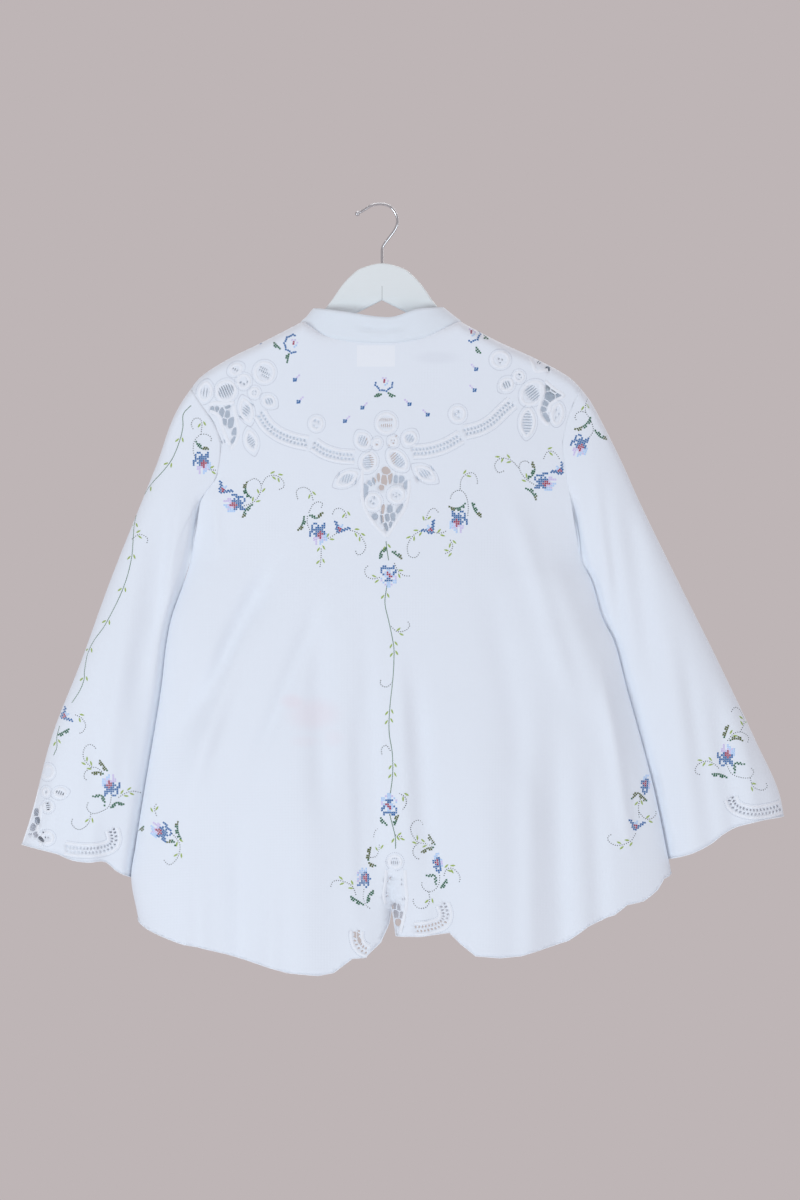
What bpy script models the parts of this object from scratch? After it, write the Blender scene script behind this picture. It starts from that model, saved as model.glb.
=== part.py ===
"""Jacket sewn from an embroidered tablecloth, hanging from a flat wooden hanger.

Millimetre sizes are turned to metres as each shape is made. +Z is up, the garment's back faces -Y,
and the origin is where a rail touches the inside of the hook. A "drop" is a distance below it.
"""

from collections import namedtuple
from math import copysign, cos, exp, pi, radians, sin, sqrt

import bmesh
import bpy
import numpy as np
from mathutils import Matrix, Vector

MM = 0.001

# Cloth and seams
CLOTH = 1.2
SEAM_GAP = 0.3
LAYER_GAP = 0.3

# Neck, armholes and shoulders
NECK_LEFT = 95.4
NECK_RIGHT = 93.6
TIP_LEFT = 230.4
TIP_RIGHT = 238.8
TIP_DROP_LEFT = 221.0
TIP_DROP_RIGHT = 219.8
UNDERARM_LEFT = 427.4
UNDERARM_RIGHT = 435.8
ARMHOLE_DEPTH = 17.0
ARMHOLE_POWER = 3.0
ARMHOLE_CLOSING = 0.75
SHOULDER_ROUND = 14.0

# Rows and columns of the panels
ROWS_ABOVE_UNDERARM = 9
ROWS_BELOW_UNDERARM = 12
ROW_GROWTH = 1.05
SLEEVE_ROWS = 14

# Body: half-widths, how far the back and the fronts stand from the middle, and how blunt the sides are
Section = namedtuple("Section", "drop left right back front power")
BODY = [
    Section(221.0, 230.4, 238.8, 30, 31, 1.00),
    Section(246.0, 213.0, 226.5, 31, 32, 1.00),
    Section(265.0, 200.4, 220.5, 32, 33, 1.00),
    Section(289.0, 193.2, 216.6, 33, 34, 1.00),
    Section(325.0, 196.8, 221.0, 34, 34, 1.00),
    Section(355.0, 201.6, 226.5, 35, 35, 1.00),
    Section(391.0, 212.4, 232.5, 36, 36, 0.90),
    Section(427.4, 226.8, 240.2, 38, 37, 0.75),
    Section(451.0, 237.6, 252.0, 39, 38, 0.65),
    Section(499.0, 254.4, 266.5, 41, 40, 0.58),
    Section(523.0, 259.2, 278.9, 42, 41, 0.56),
    Section(583.0, 266.4, 295.2, 45, 43, 0.55),
    Section(643.0, 276.0, 312.0, 48, 45, 0.55),
    Section(707.0, 286.8, 328.5, 51, 47, 0.55),
    Section(775.0, 297.6, 342.5, 54, 49, 0.55),
    Section(808.0, 302.4, 348.5, 55, 50, 0.55),
    Section(858.0, 294.0, 349.0, 56, 51, 0.55),
]
SIDE_FULLNESS = 2.2
FOLD_FADE = 1.5

# Lines across the garment: x from the middle, drop
Point = namedtuple("Point", "x drop")
SHOULDER_L = [
    Point(-230.4, 221.0),
    Point(-222.0, 210.0),
    Point(-189.6, 187.4),
    Point(-141.6, 163.4),
    Point(-95.4, 139.6),
]
SHOULDER_R = [
    Point(93.6, 139.6),
    Point(136.8, 162.4),
    Point(190.8, 187.4),
    Point(228.0, 209.0),
    Point(238.8, 219.8),
]
NECK_BACK = [
    Point(-95.4, 139.6),
    Point(-62.4, 160.0),
    Point(3.6, 167.0),
    Point(45.6, 161.0),
    Point(93.6, 139.6),
]
HEM_BACK = [
    Point(-294.0, 858.2),
    Point(-268.4, 876.8),
    Point(-186.0, 898.0),
    Point(-112.0, 919.0),
    Point(-76.0, 922.4),
    Point(-36.0, 902.5),
    Point(-1.0, 884.0),
    Point(11.9, 845.0),
    Point(19.0, 876.0),
    Point(80.4, 871.4),
    Point(112.0, 899.0),
    Point(142.0, 901.4),
    Point(223.0, 882.5),
    Point(270.0, 855.0),
    Point(314.0, 836.0),
    Point(348.5, 803.4),
]
HEM_FRONT = [
    Point(-294.0, 858.2),
    Point(-180.0, 880.0),
    Point(-80.0, 876.0),
    Point(6.0, 862.0),
    Point(90.0, 866.0),
    Point(220.0, 860.0),
    Point(348.5, 803.4),
]
COLLAR_TOP = [
    Point(-82.8, 123.8),
    Point(-50.4, 128.6),
    Point(8.0, 136.2),
    Point(45.6, 125.6),
    Point(74.4, 122.8),
]

# Front neckline and front edges: distance from the centre-front line, drop
NECK_FRONT = [
    Point(32.0, 222.0),
    Point(48.0, 212.0),
    Point(66.0, 194.0),
    Point(82.0, 168.0),
    Point(94.5, 139.6),
]
FRONT_EDGE = [Point(32.0, 222.0), Point(12.0, 322.0), Point(0.5, 385.0), Point(0.4, 740.0), Point(4.5, 870.0)]
CENTRE_FRONT = [Point(0.0, 222.0), Point(1.2, 385.0), Point(3.0, 700.0), Point(11.0, 870.0)]
COLLAR_STAND = 31.0
COLLAR_SIDE_STAND = 20.6
COLLAR_LEAN = 0.88
# How far the stand slants towards the neck: share of the way from the front end to the shoulder, slant
Slant = namedtuple("Slant", "share slant")
COLLAR_SLANTS = [Slant(0.0, 0.25), Slant(0.25, 0.5), Slant(0.5, 0.75), Slant(0.6, 0.75), Slant(1.0, 0.65)]

# Sleeves: outer edge from the shoulder tip to the cuff, inner edge from the underarm to the cuff
SLEEVE_OUT_L = [
    Point(230.4, 221.0),
    Point(240.5, 235.4),
    Point(253.2, 259.4),
    Point(270.0, 307.4),
    Point(289.2, 355.4),
    Point(327.6, 451.4),
    Point(362.4, 547.4),
    Point(399.6, 643.4),
    Point(424.8, 739.4),
    Point(435.0, 770.0),
]
SLEEVE_IN_L = [
    Point(226.8, 427.4),
    Point(240.5, 451.0),
    Point(249.0, 475.0),
    Point(257.0, 499.0),
    Point(261.0, 530.0),
    Point(264.0, 600.0),
    Point(269.0, 720.0),
    Point(278.4, 816.2),
]
SLEEVE_OUT_R = [
    Point(238.8, 219.8),
    Point(250.8, 235.4),
    Point(264.0, 259.4),
    Point(288.0, 307.4),
    Point(309.6, 355.4),
    Point(356.4, 451.4),
    Point(404.4, 547.4),
    Point(450.0, 643.4),
    Point(481.2, 715.4),
    Point(485.0, 736.0),
]
SLEEVE_IN_R = [
    Point(241.8, 435.8),
    Point(254.5, 455.0),
    Point(263.0, 475.0),
    Point(271.5, 499.0),
    Point(279.0, 525.0),
    Point(289.0, 583.0),
    Point(301.0, 643.0),
    Point(313.0, 720.0),
    Point(324.0, 790.0),
]
SLEEVE_DEPTH = 17.0
CUFF_DEPTH = 30.0
CUFF_WAVE_L = 2.0
CUFF_WAVE_R = 6.5
CUFF_WAVE_POWER = 6
SLEEVE_FULLNESS = 2.4
SLEEVE_POWER = 0.62
BOW_LENGTH = 0.35
SETTLE_LENGTH = 0.25
BEHIND_FRONT = 4.5
BEHIND_FRONT_REACH = 10.0
BEHIND_FRONT_START = 0.06
INNER_EDGE_SPARE = 1.4
INNER_PULL = 1.6
CUFF_FORWARD = 9.0

# Largest folds: where each starts and ends, half its width, and how far it stands out (in, if below 0)
Fold = namedtuple("Fold", "x_top top x_bottom bottom width rise")
BACK_FOLDS = [
    Fold(-114, 395, -252, 665, 15, -8),
    Fold(-190, 480, -238, 760, 18, 7),
    Fold(-76, 470, -72, 760, 15, -6),
    Fold(-24, 440, 12, 1100, 13, -6),
    Fold(38, 530, 60, 830, 13, -5),
    Fold(12, 760, 12, 1000, 7, -14),
    Fold(181, 360, 312, 720, 20, 8),
    Fold(284, 500, 326, 740, 13, -8),
    Fold(-95, 560, -100, 1150, 36, 9),
    Fold(120, 560, 138, 1150, 36, 9),
    Fold(205, 560, 222, 1100, 16, -6),
    Fold(-170, 690, -168, 1100, 15, -6),
]
FRONT_FOLDS = [
    Fold(-120, 330, -210, 900, 22, 7),
    Fold(-70, 420, -110, 1050, 16, -6),
    Fold(-200, 470, -170, 1050, 14, -6),
    Fold(110, 330, 200, 900, 22, 7),
    Fold(70, 420, 105, 1050, 16, -6),
    Fold(215, 500, 250, 1000, 15, -6),
]
SLEEVE_BACK_FOLDS = [
    Fold(-262, 330, -300, 640, 13, -5),
    Fold(-300, 430, -360, 900, 18, 6),
    Fold(-340, 620, -330, 900, 12, -5),
    Fold(292, 330, 330, 600, 13, -5),
    Fold(340, 480, 385, 900, 18, 6),
    Fold(395, 560, 440, 850, 12, -5),
]
SLEEVE_FRONT_FOLDS = [
    Fold(-270, 330, -330, 900, 16, 5),
    Fold(-300, 560, -395, 860, 14, -5),
    Fold(300, 330, 370, 900, 16, 5),
    Fold(330, 560, 440, 860, 14, -5),
]

# Lace gaps wider or longer than 4 mm: centre, drop, length, width, lean of the long way to the right
Gap = namedtuple("Gap", "x drop length width lean")
# A stack of slits between needle-woven bars: centre, drop, how many, their spacing, longest, width, lean
Slits = namedtuple("Slits", "x drop count pitch length width lean")
BACK_GAPS = [
    # Net above the middle of the centre flower
    Gap(5.0, 321.0, 8.0, 6.5, -45),
    Gap(2.8, 331.0, 12.0, 5.6, 0),
    Gap(9.8, 329.6, 10.0, 4.0, 8),
    Gap(-4.0, 329.0, 8.0, 2.6, 0),
    Gap(-0.4, 340.6, 5.0, 4.4, 0),
    Gap(-20.0, 344.5, 18.0, 5.6, 4),
    Gap(-14.4, 335.6, 5.0, 4.6, 20),
    Gap(-9.6, 333.0, 7.0, 3.6, 12),
    Gap(16.6, 330.8, 7.5, 4.2, 0),
    Gap(23.2, 331.0, 6.5, 5.6, 0),
    Gap(28.4, 337.0, 8.5, 3.6, 0),
    # Net in the shield below it
    Gap(-8.4, 375.6, 5.6, 5.4, -40),
    Gap(1.0, 367.6, 10.0, 2.8, 10),
    Gap(0.2, 378.6, 9.6, 2.8, -6),
    Gap(9.4, 366.8, 8.0, 5.0, 0),
    Gap(6.4, 377.0, 9.0, 4.2, 0),
    Gap(13.0, 375.6, 9.0, 4.4, 0),
    Gap(20.6, 366.8, 11.0, 3.2, 34),
    Gap(4.8, 387.0, 9.0, 3.0, -18),
    Gap(10.4, 385.4, 8.0, 2.6, 14),
    # Net on the left shoulder
    Gap(-203.4, 247.2, 6.0, 4.8, 10),
    Gap(-198.0, 246.6, 5.4, 3.8, 0),
    Gap(-192.2, 250.4, 9.6, 5.0, -12),
    Gap(-185.6, 252.4, 9.6, 4.6, 0),
    Gap(-185.2, 244.0, 6.0, 2.8, 68),
    Gap(-188.4, 261.4, 6.6, 4.4, -25),
    Gap(-181.4, 262.0, 11.0, 5.2, 8),
    Gap(-176.8, 273.6, 8.0, 4.6, 20),
    Gap(-177.4, 282.8, 8.0, 4.0, 38),
    # Net on the right shoulder
    Gap(199.0, 221.0, 6.6, 4.2, 0),
    Gap(207.0, 223.6, 8.4, 3.2, -62),
    Gap(201.6, 231.6, 9.8, 9.0, 0),
    Gap(212.0, 230.6, 6.2, 5.2, -70),
    Gap(196.2, 239.6, 6.4, 5.0, 20),
    Gap(193.8, 246.4, 6.0, 5.0, -20),
    Gap(196.8, 255.0, 11.0, 3.8, -32),
    Gap(199.0, 197.8, 5.0, 4.2, 0),
    # Net at the centre-back hem, and the braid's end beside it
    Gap(15.0, 841.0, 6.0, 3.4, 20),
    Gap(19.8, 842.0, 7.0, 3.0, -14),
    Gap(17.0, 850.2, 8.6, 4.4, -8),
    Gap(23.2, 850.6, 6.4, 4.0, 0),
    Gap(19.2, 859.6, 6.8, 5.2, 10),
    Gap(-30.0, 874.6, 5.6, 3.6, 0),
    Gap(-26.8, 881.4, 4.6, 3.4, 0),
]
BACK_SLITS = [
    Slits(-16.0, 310.6, 5, 3.9, 13.0, 2.1, 86),
    Slits(18.6, 307.8, 5, 3.9, 12.0, 2.2, 48),
    Slits(-22.6, 284.6, 4, 3.9, 11.0, 2.1, 24),
    Slits(33.4, 281.6, 3, 4.2, 8.0, 2.6, 30),
    Slits(-41.4, 329.8, 6, 4.1, 11.0, 2.2, 16),
    Slits(51.6, 324.0, 6, 4.1, 9.0, 2.2, -34),
    Slits(-187.0, 224.6, 5, 4.1, 13.0, 2.2, -24),
    Slits(-162.8, 248.2, 6, 3.9, 8.5, 2.2, -52),
    Slits(-135.2, 237.2, 4, 3.9, 7.5, 2.2, -20),
    Slits(-157.0, 284.8, 5, 3.9, 7.0, 2.0, 56),
    Slits(180.4, 227.2, 6, 3.9, 12.5, 2.3, 52),
    Slits(174.4, 262.6, 7, 4.4, 11.0, 2.2, 92),
    Slits(149.6, 217.2, 4, 3.9, 7.5, 2.2, -24),
]
CUFF_GAPS = [
    Gap(-416.6, 731.2, 7.2, 4.4, 4),
    Gap(-415.2, 741.0, 7.0, 5.2, 0),
    Gap(-420.4, 749.0, 7.0, 5.2, 20),
    Gap(-417.0, 757.6, 5.2, 4.0, -30),
    Gap(-410.0, 762.6, 7.0, 3.0, -50),
]
GAP_SIDES = 6
CUTTER_NEAR = -8.0
CUTTER_FAR = -110.0

# Label inside the back neck
LABEL_LEFT = -30.0
LABEL_RIGHT = 15.6
LABEL_TOP = 170.5
LABEL_HEIGHT = 27.0
LABEL_THICK = 0.8
LABEL_SLACK = 0.25

# Hanger: the upper edge of the right half, the lower edge, and the wire hook
HANGER_TOP = [
    Point(0.0, 69.8),
    Point(25.0, 75.8),
    Point(38.0, 85.4),
    Point(47.0, 95.0),
    Point(54.0, 104.6),
    Point(60.0, 113.6),
    Point(67.0, 122.4),
    Point(76.0, 132.5),
    Point(86.0, 143.0),
    Point(96.0, 150.5),
    Point(118.0, 158.6),
    Point(137.0, 166.2),
    Point(160.0, 176.4),
    Point(185.0, 187.9),
    Point(195.0, 193.4),
]
HANGER_TIP_SLOPE = 0.72
HANGER_REACH_LEFT = 203.0
HANGER_REACH_RIGHT = 208.0
HANGER_TIP_HEIGHT = 24.0
HANGER_TIP_DIP = 1.0
HANGER_NOTCH = 114.2
HANGER_NOTCH_FOOT = Point(31.0, 130.0)
HANGER_THICK = 11.0
HANGER_EDGE = 2.2
HANGER_TIP_NARROW = 0.8
SHANK_HOLE = 4.2
SHANK_HOLE_FOOT = 99.0
WIRE = 3.4
BALL = 6.0
HOOK_STEPS = 26
HOOK_PATH = [
    Point(0.0, 98.0),
    Point(0.0, 51.8),
    Point(2.4, 47.0),
    Point(9.6, 37.4),
    Point(16.2, 27.8),
    Point(18.6, 18.2),
    Point(15.6, 8.2),
    Point(8.4, 0.6),
    Point(-2.4, -1.8),
    Point(-13.2, 0.2),
    Point(-21.6, 5.4),
    Point(-27.0, 8.4),
]

# Colours, roughness and metallic share of the materials
COTTON = ("cotton", "DCE5F2", 0.85, 0.0)
COLLAR_COTTON = ("collar_cotton", "E2E9F3", 0.85, 0.0)
LABEL_TAPE = ("label_tape", "E9ECF0", 0.7, 0.0)
WHITE_WOOD = ("white_wood", "D7E1E4", 0.55, 0.0)
CHROME = ("chrome", "C9CCD0", 0.2, 1.0)


def smooth_curve(xs, ys):
    """A smooth curve through a table's rows that never overshoots them."""
    xs = np.asarray(xs, float)
    ys = np.asarray(ys, float)
    steps = np.diff(xs)
    slopes = np.diff(ys) / steps
    tangents = np.zeros_like(ys)
    for i in range(1, len(xs) - 1):
        if slopes[i - 1] * slopes[i] > 0:
            before = 2 * steps[i] + steps[i - 1]
            after = steps[i] + 2 * steps[i - 1]
            tangents[i] = (before + after) / (before / slopes[i - 1] + after / slopes[i])
    tangents[0] = slopes[0]
    tangents[-1] = slopes[-1]

    def value(x):
        x = min(max(x, xs[0]), xs[-1])
        i = min(max(int(np.searchsorted(xs, x)) - 1, 0), len(steps) - 1)
        t = (x - xs[i]) / steps[i]
        start = ys[i] * (1 + 2 * t) * (1 - t) ** 2 + ys[i + 1] * t * t * (3 - 2 * t)
        lean = tangents[i] * t * (1 - t) ** 2 + tangents[i + 1] * t * t * (t - 1)
        return float(start + steps[i] * lean)

    return value


def along_x(table):
    """Drop as a function of x."""
    return smooth_curve([p.x for p in table], [p.drop for p in table])


def along_drop(table):
    """Distance from the middle as a function of drop."""
    return smooth_curve([p.drop for p in table], [p.x for p in table])


def section_curve(column):
    return smooth_curve([s.drop for s in BODY], [getattr(s, column) for s in BODY])


half_width = {-1: section_curve("left"), 1: section_curve("right")}
back_depth = section_curve("back")
front_depth = section_curve("front")
side_power = section_curve("power")
shoulder_left = along_x(SHOULDER_L)
shoulder_right = along_x(SHOULDER_R)
neck_back = along_x(NECK_BACK)
neck_front = along_x(NECK_FRONT)
hem_back = along_x(HEM_BACK)
hem_front = along_x(HEM_FRONT)
collar_top = along_x(COLLAR_TOP)
front_edge = along_drop(FRONT_EDGE)
centre_front = along_drop(CENTRE_FRONT)
collar_slant = smooth_curve([s.share for s in COLLAR_SLANTS], [s.slant for s in COLLAR_SLANTS])
TIP_DROP = {-1: TIP_DROP_LEFT, 1: TIP_DROP_RIGHT}
UNDERARM = {-1: UNDERARM_LEFT, 1: UNDERARM_RIGHT}
NECK_HALF = {-1: NECK_LEFT, 1: NECK_RIGHT}


def ease(share):
    """A smooth step from 0 to 1."""
    share = min(max(share, 0.0), 1.0)
    return share * share * (3 - 2 * share)


def side_of(x):
    return -1 if x < 0 else 1


def fold_height(folds, x, drop):
    """How far the folds lift the cloth at a place."""
    total = 0.0
    for fold in folds:
        run = (drop - fold.top) / (fold.bottom - fold.top)
        if 0 < run < 1:
            middle = fold.x_top + (fold.x_bottom - fold.x_top) * run
            swell = ease(run / 0.35) * ease((1 - run) / 0.3)
            total += fold.rise * swell * exp(-(((x - middle) / fold.width) ** 2))
    return total


def edge_depth(side, drop):
    """How far the armhole's edge stands from the middle of the garment."""
    run = (drop - TIP_DROP[side]) / (UNDERARM[side] - TIP_DROP[side])
    if run >= 1:
        return 0.0
    return ARMHOLE_DEPTH * (1 - max(run, 0.0) ** ARMHOLE_POWER) ** ARMHOLE_CLOSING


def top_drop(x, neckline):
    """The upper edge of a body panel."""
    if x < -NECK_LEFT:
        return shoulder_left(x)
    if x > NECK_RIGHT:
        return shoulder_right(x)
    return neckline(x)


def front_neckline(x):
    return neck_front(abs(x) * NECK_FRONT[-1].x / NECK_HALF[side_of(x)])


def neck_opening(x):
    """1 in the middle of the neck, and 0 where it meets the shoulder seams."""
    share = min(abs(x) / NECK_HALF[side_of(x)], 1.0)
    return sqrt(1 - share**3)


def body_depth(x, drop, full_depth, neckline, folds):
    """How far a body panel stands from the middle of the garment, before or behind."""
    side = side_of(x)
    across = min(abs(x) / half_width[side](drop), 1.0)
    fullness = (1 - across**SIDE_FULLNESS) ** side_power(drop)
    edge = edge_depth(side, drop)
    below = max(drop - top_drop(x, neckline), 0.0)
    near_ridge = 1 - min(below / SHOULDER_ROUND, 1.0)
    ridge = 1 - (1 - sqrt(1 - near_ridge**2)) * (1 - neck_opening(x))
    lift = fold_height(folds, x, drop) * min(fullness * FOLD_FADE, 1.0)
    return (edge + (full_depth(drop) - edge) * fullness) * ridge + lift


def back_y(x, drop):
    return -body_depth(x, drop, back_depth, neck_back, BACK_FOLDS)


def front_y(x, drop):
    return body_depth(x, drop, front_depth, front_neckline, FRONT_FOLDS)


def place(x, y, drop):
    return Vector((x, y, -drop))


def row_drops(top, armpit, hem):
    """Drops of a column's rows: close together at the shoulder and the underarm."""
    upper = [(1 - cos(pi * k / ROWS_ABOVE_UNDERARM)) / 2 for k in range(ROWS_ABOVE_UNDERARM + 1)]
    lower = [(k + 1) / ROWS_BELOW_UNDERARM for k in range(ROWS_BELOW_UNDERARM)]
    drops = [top + (armpit - top) * t for t in upper]
    return drops + [armpit + (hem - armpit) * t**ROW_GROWTH for t in lower]


def underarm_level(x):
    """The row that joins the two underarms."""
    share = (x + TIP_LEFT) / (TIP_LEFT + TIP_RIGHT)
    return UNDERARM_LEFT + (UNDERARM_RIGHT - UNDERARM_LEFT) * share


def side_columns(side):
    """Columns from the shoulder tip to the neck, as x along the shoulder seam."""
    tip = half_width[side](0.0)
    neck = NECK_HALF[side]
    shares = [0.0, 0.03, 0.09, 0.2, 0.36, 0.54, 0.72, 0.9, 1.0]
    return [side * (tip + (neck - tip) * share) for share in shares]


def neck_columns():
    """Columns between the two ends of the back neckline, without those ends."""
    left = [-NECK_LEFT * s for s in (0.965, 0.86, 0.7, 0.52, 0.36, 0.2, 0.07)]
    right = [2.5, 8.1, 13.5] + [NECK_RIGHT * s for s in (0.27, 0.4, 0.55, 0.7, 0.86, 0.965)]
    return left + right


def back_grid():
    """Points of the back, column by column from left to right, each from top to hem."""
    columns = side_columns(-1) + neck_columns() + side_columns(1)[::-1]
    grid = []
    for x_top in columns:
        side = side_of(x_top)
        share = x_top / half_width[side](0.0)
        hem = hem_back(share * half_width[side](850.0))
        drops = row_drops(top_drop(x_top, neck_back), underarm_level(x_top), hem)
        if abs(share) == 1:
            drops = edge_drops(side)
        grid.append([back_point(share, side, drop) for drop in drops])
    return grid


def back_point(share, side, drop):
    x = share * half_width[side](drop)
    return place(x, back_y(x, drop), drop)


def edge_drops(side):
    """Rows along the armhole and down the side seam."""
    hem = hem_back(side * 500.0)
    return row_drops(TIP_DROP[side], UNDERARM[side], hem)


def front_grid(side):
    """Points of one front, column by column from its front edge to its side."""
    tip = half_width[side](0.0)
    start = FRONT_EDGE[0].x
    neck = [start + (NECK_HALF[side] - start) * s for s in (0.0, 0.2, 0.42, 0.64, 0.82, 0.94)]
    shoulder = [abs(x) for x in side_columns(side)[::-1]]
    grid = []
    for x_top in neck + shoulder:
        share = (x_top - start) / (tip - start)
        hem = hem_front(side * (start + share * (half_width[side](850.0) - start)))
        drops = row_drops(top_drop(side * x_top, front_neckline), underarm_level(side * x_top), hem)
        if share == 1:
            drops = edge_drops(side)
        grid.append([front_point(share, side, drop) for drop in drops])
    return grid


def front_point(share, side, drop):
    inner = side * centre_front(drop) + front_edge(drop)
    x = side * (inner + share * (half_width[side](drop) - inner))
    return place(x, front_y(x, drop), drop)


def sleeve_grid(side, facing, armhole):
    """Points of half a sleeve: rows from the outer edge round to the inner one, each from armhole to cuff."""
    outer_table, inner_table = (SLEEVE_OUT_L, SLEEVE_IN_L) if side < 0 else (SLEEVE_OUT_R, SLEEVE_IN_R)
    outer = along_drop(outer_table)
    inner = along_drop(inner_table)
    wave = CUFF_WAVE_L if side < 0 else CUFF_WAVE_R
    folds = SLEEVE_BACK_FOLDS if facing < 0 else SLEEVE_FRONT_FOLDS
    grid = []
    for j, seam_point in enumerate(armhole):
        round_share = (1 - cos(pi * j / ROWS_ABOVE_UNDERARM)) / 2
        chord = sleeve_chord(side, outer_table, inner_table, outer, inner, round_share, 0.0)
        bow = (seam_point.x - chord[0], -seam_point.z - chord[1])
        line = []
        for m in range(SLEEVE_ROWS + 1):
            down = m / SLEEVE_ROWS
            x, drop = sleeve_chord(side, outer_table, inner_table, outer, inner, round_share, down)
            bend = max(1 - down / BOW_LENGTH, 0.0) ** 2
            x += bow[0] * bend
            drop += bow[1] * bend - wave * sin(2 * pi * round_share) * down**CUFF_WAVE_POWER
            middle, depth = sleeve_depths(side, inner, inner_table, round_share, down)
            settle = max(1 - down / SETTLE_LENGTH, 0.0) ** 2
            edge = abs(seam_point.y) * settle
            lift = fold_height(folds, x, drop) * min(depth / SLEEVE_DEPTH, 1.0)
            nearest = (middle - depth) * (1 - settle) - edge - max(lift, 0.0)
            near_body = ease(1 - (abs(x) - half_width[side](drop)) / BEHIND_FRONT_REACH)
            push = near_body * max(front_y(x, drop) + clearance(down) - nearest, 0.0) if down > 0 else 0.0
            y = (middle + facing * (depth + lift)) * (1 - settle) + facing * edge + push
            line.append(place(x, y, drop))
        grid.append(line)
    return grid


def sleeve_chord(side, outer_table, inner_table, outer, inner, round_share, down):
    """x and drop on the straight line from a sleeve's outer edge to its inner edge."""
    out_drop = outer_table[0].drop + (outer_table[-1].drop - outer_table[0].drop) * down
    in_drop = inner_table[0].drop + (inner_table[-1].drop - inner_table[0].drop) * down
    x = outer(out_drop) * (1 - round_share) + inner(in_drop) * round_share
    return side * x, out_drop * (1 - round_share) + in_drop * round_share


def clearance(down):
    """How far the sleeve stays from the front that it hangs beside."""
    return BEHIND_FRONT * ease(down / BEHIND_FRONT_START)


def sleeve_depths(side, inner, inner_table, round_share, down):
    """The sleeve's middle, whose inner edge lies beyond the front panel, and half its depth there."""
    in_drop = inner_table[0].drop + (inner_table[-1].drop - inner_table[0].drop) * down
    inner_y = front_y(side * inner(in_drop), in_drop) + clearance(down) * INNER_EDGE_SPARE
    outer_y = CUFF_FORWARD * down
    middle = outer_y + (inner_y - outer_y) * round_share**INNER_PULL
    fullness = (1 - abs(2 * round_share - 1) ** SLEEVE_FULLNESS) ** SLEEVE_POWER
    return middle, (SLEEVE_DEPTH + (CUFF_DEPTH - SLEEVE_DEPTH) * down) * fullness


def collar_grid(back, front_left, front_right):
    """Points of the collar, from the left front end round the back to the right front end."""
    neck_left = len(side_columns(-1)) - 1
    neck_right = neck_left + len(neck_columns()) + 1
    front_count = len(front_left) - len(side_columns(-1))
    grid = []
    for q in range(front_count):
        grid.append(front_collar_column(-1, front_left[q][0], q / front_count))
    for i in range(neck_left, neck_right + 1):
        grid.append(back_collar_column(back[i][0]))
    for q in reversed(range(front_count)):
        grid.append(front_collar_column(1, front_right[q][0], q / front_count))
    return grid


def collar_column(base, top):
    return [base.lerp(top, share) for share in (0.0, 0.5, 1.0)]


def back_collar_column(base):
    side = side_of(base.x)
    reach = COLLAR_TOP[0].x if side < 0 else COLLAR_TOP[-1].x
    x = abs(reach) * base.x / NECK_HALF[side]
    return collar_column(base, place(x, base.y * COLLAR_LEAN, collar_top(x)))


def front_collar_column(side, base, share):
    """share is 0 at the front end and nears 1 at the shoulder."""
    stand = COLLAR_STAND + (COLLAR_SIDE_STAND - COLLAR_STAND) * ease(share)
    slant = collar_slant(share)
    rise = sqrt(1 - slant**2)
    x = base.x - side * stand * slant
    return collar_column(base, place(x, base.y * COLLAR_LEAN, -base.z - stand * rise))


def label_grid():
    """Points of the label, which lies inside the back below the neck."""
    grid = []
    for i in range(4):
        x = LABEL_LEFT + (LABEL_RIGHT - LABEL_LEFT) * i / 3
        column = []
        for k in range(3):
            drop = LABEL_TOP + LABEL_HEIGHT * k / 2
            point = place(x, back_y(x, drop), drop)
            step_x = place(x + 1, back_y(x + 1, drop), drop) - point
            step_z = place(x, back_y(x, drop + 1), drop + 1) - point
            outward = step_z.cross(step_x).normalized()
            column.append(point - outward * (CLOTH + LAYER_GAP + LABEL_SLACK))
        grid.append(column)
    return grid


def corner_key(point):
    return tuple(round(value, 2) for value in point)


def face_normals(grids):
    """Normals of the whole garment at every point, so that the two sides of a seam share them."""
    sums = {}
    for grid, turn in grids:
        for i in range(len(grid) - 1):
            for k in range(len(grid[0]) - 1):
                corners = [grid[i][k], grid[i + 1][k], grid[i + 1][k + 1], grid[i][k + 1]]
                normal = (corners[2] - corners[0]).cross(corners[3] - corners[1]) * turn
                for corner in corners:
                    key = corner_key(corner)
                    sums[key] = sums.get(key, Vector()) + normal
    return sums


def wall_object(name, grid, turn, normals, seams, material, thickness=CLOTH):
    """A closed cloth wall on a grid of outer points. seams name the grid's edges that meet a neighbour."""
    columns = len(grid)
    rows = len(grid[0])
    mesh = bmesh.new()
    outer = []
    inner = []
    for i in range(columns):
        for k in range(rows):
            normal = normals[corner_key(grid[i][k])].normalized()
            point = grid[i][k] + seam_shift(grid, i, k, normal, seams)
            outer.append(mesh.verts.new(point * MM))
            inner.append(mesh.verts.new((point - normal * thickness) * MM))
    faces = []
    for i in range(columns - 1):
        for k in range(rows - 1):
            a, b = i * rows + k, (i + 1) * rows + k
            for tri in ((a, b, b + 1), (a, b + 1, a + 1)):
                faces.append([outer[v] for v in tri])
                faces.append([inner[v] for v in reversed(tri)])
    rim = [i * rows for i in range(columns)]
    rim += [(columns - 1) * rows + k for k in range(1, rows)]
    rim += [i * rows + rows - 1 for i in range(columns - 2, -1, -1)]
    rim += [k for k in range(rows - 2, 0, -1)]
    keys = [corner_key(point) for column in grid for point in column]
    for a, b in zip(rim, rim[1:] + rim[:1]):
        # Both walls at a seam split its rim along the same diagonal, so that they stay parallel
        if keys[a] < keys[b]:
            faces.append([outer[b], outer[a], inner[b]])
            faces.append([outer[a], inner[a], inner[b]])
        else:
            faces.append([outer[b], outer[a], inner[a]])
            faces.append([outer[b], inner[a], inner[b]])
    for face in faces:
        mesh.faces.new(face if turn > 0 else face[::-1])
    return finish_mesh(name, mesh, material)


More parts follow.
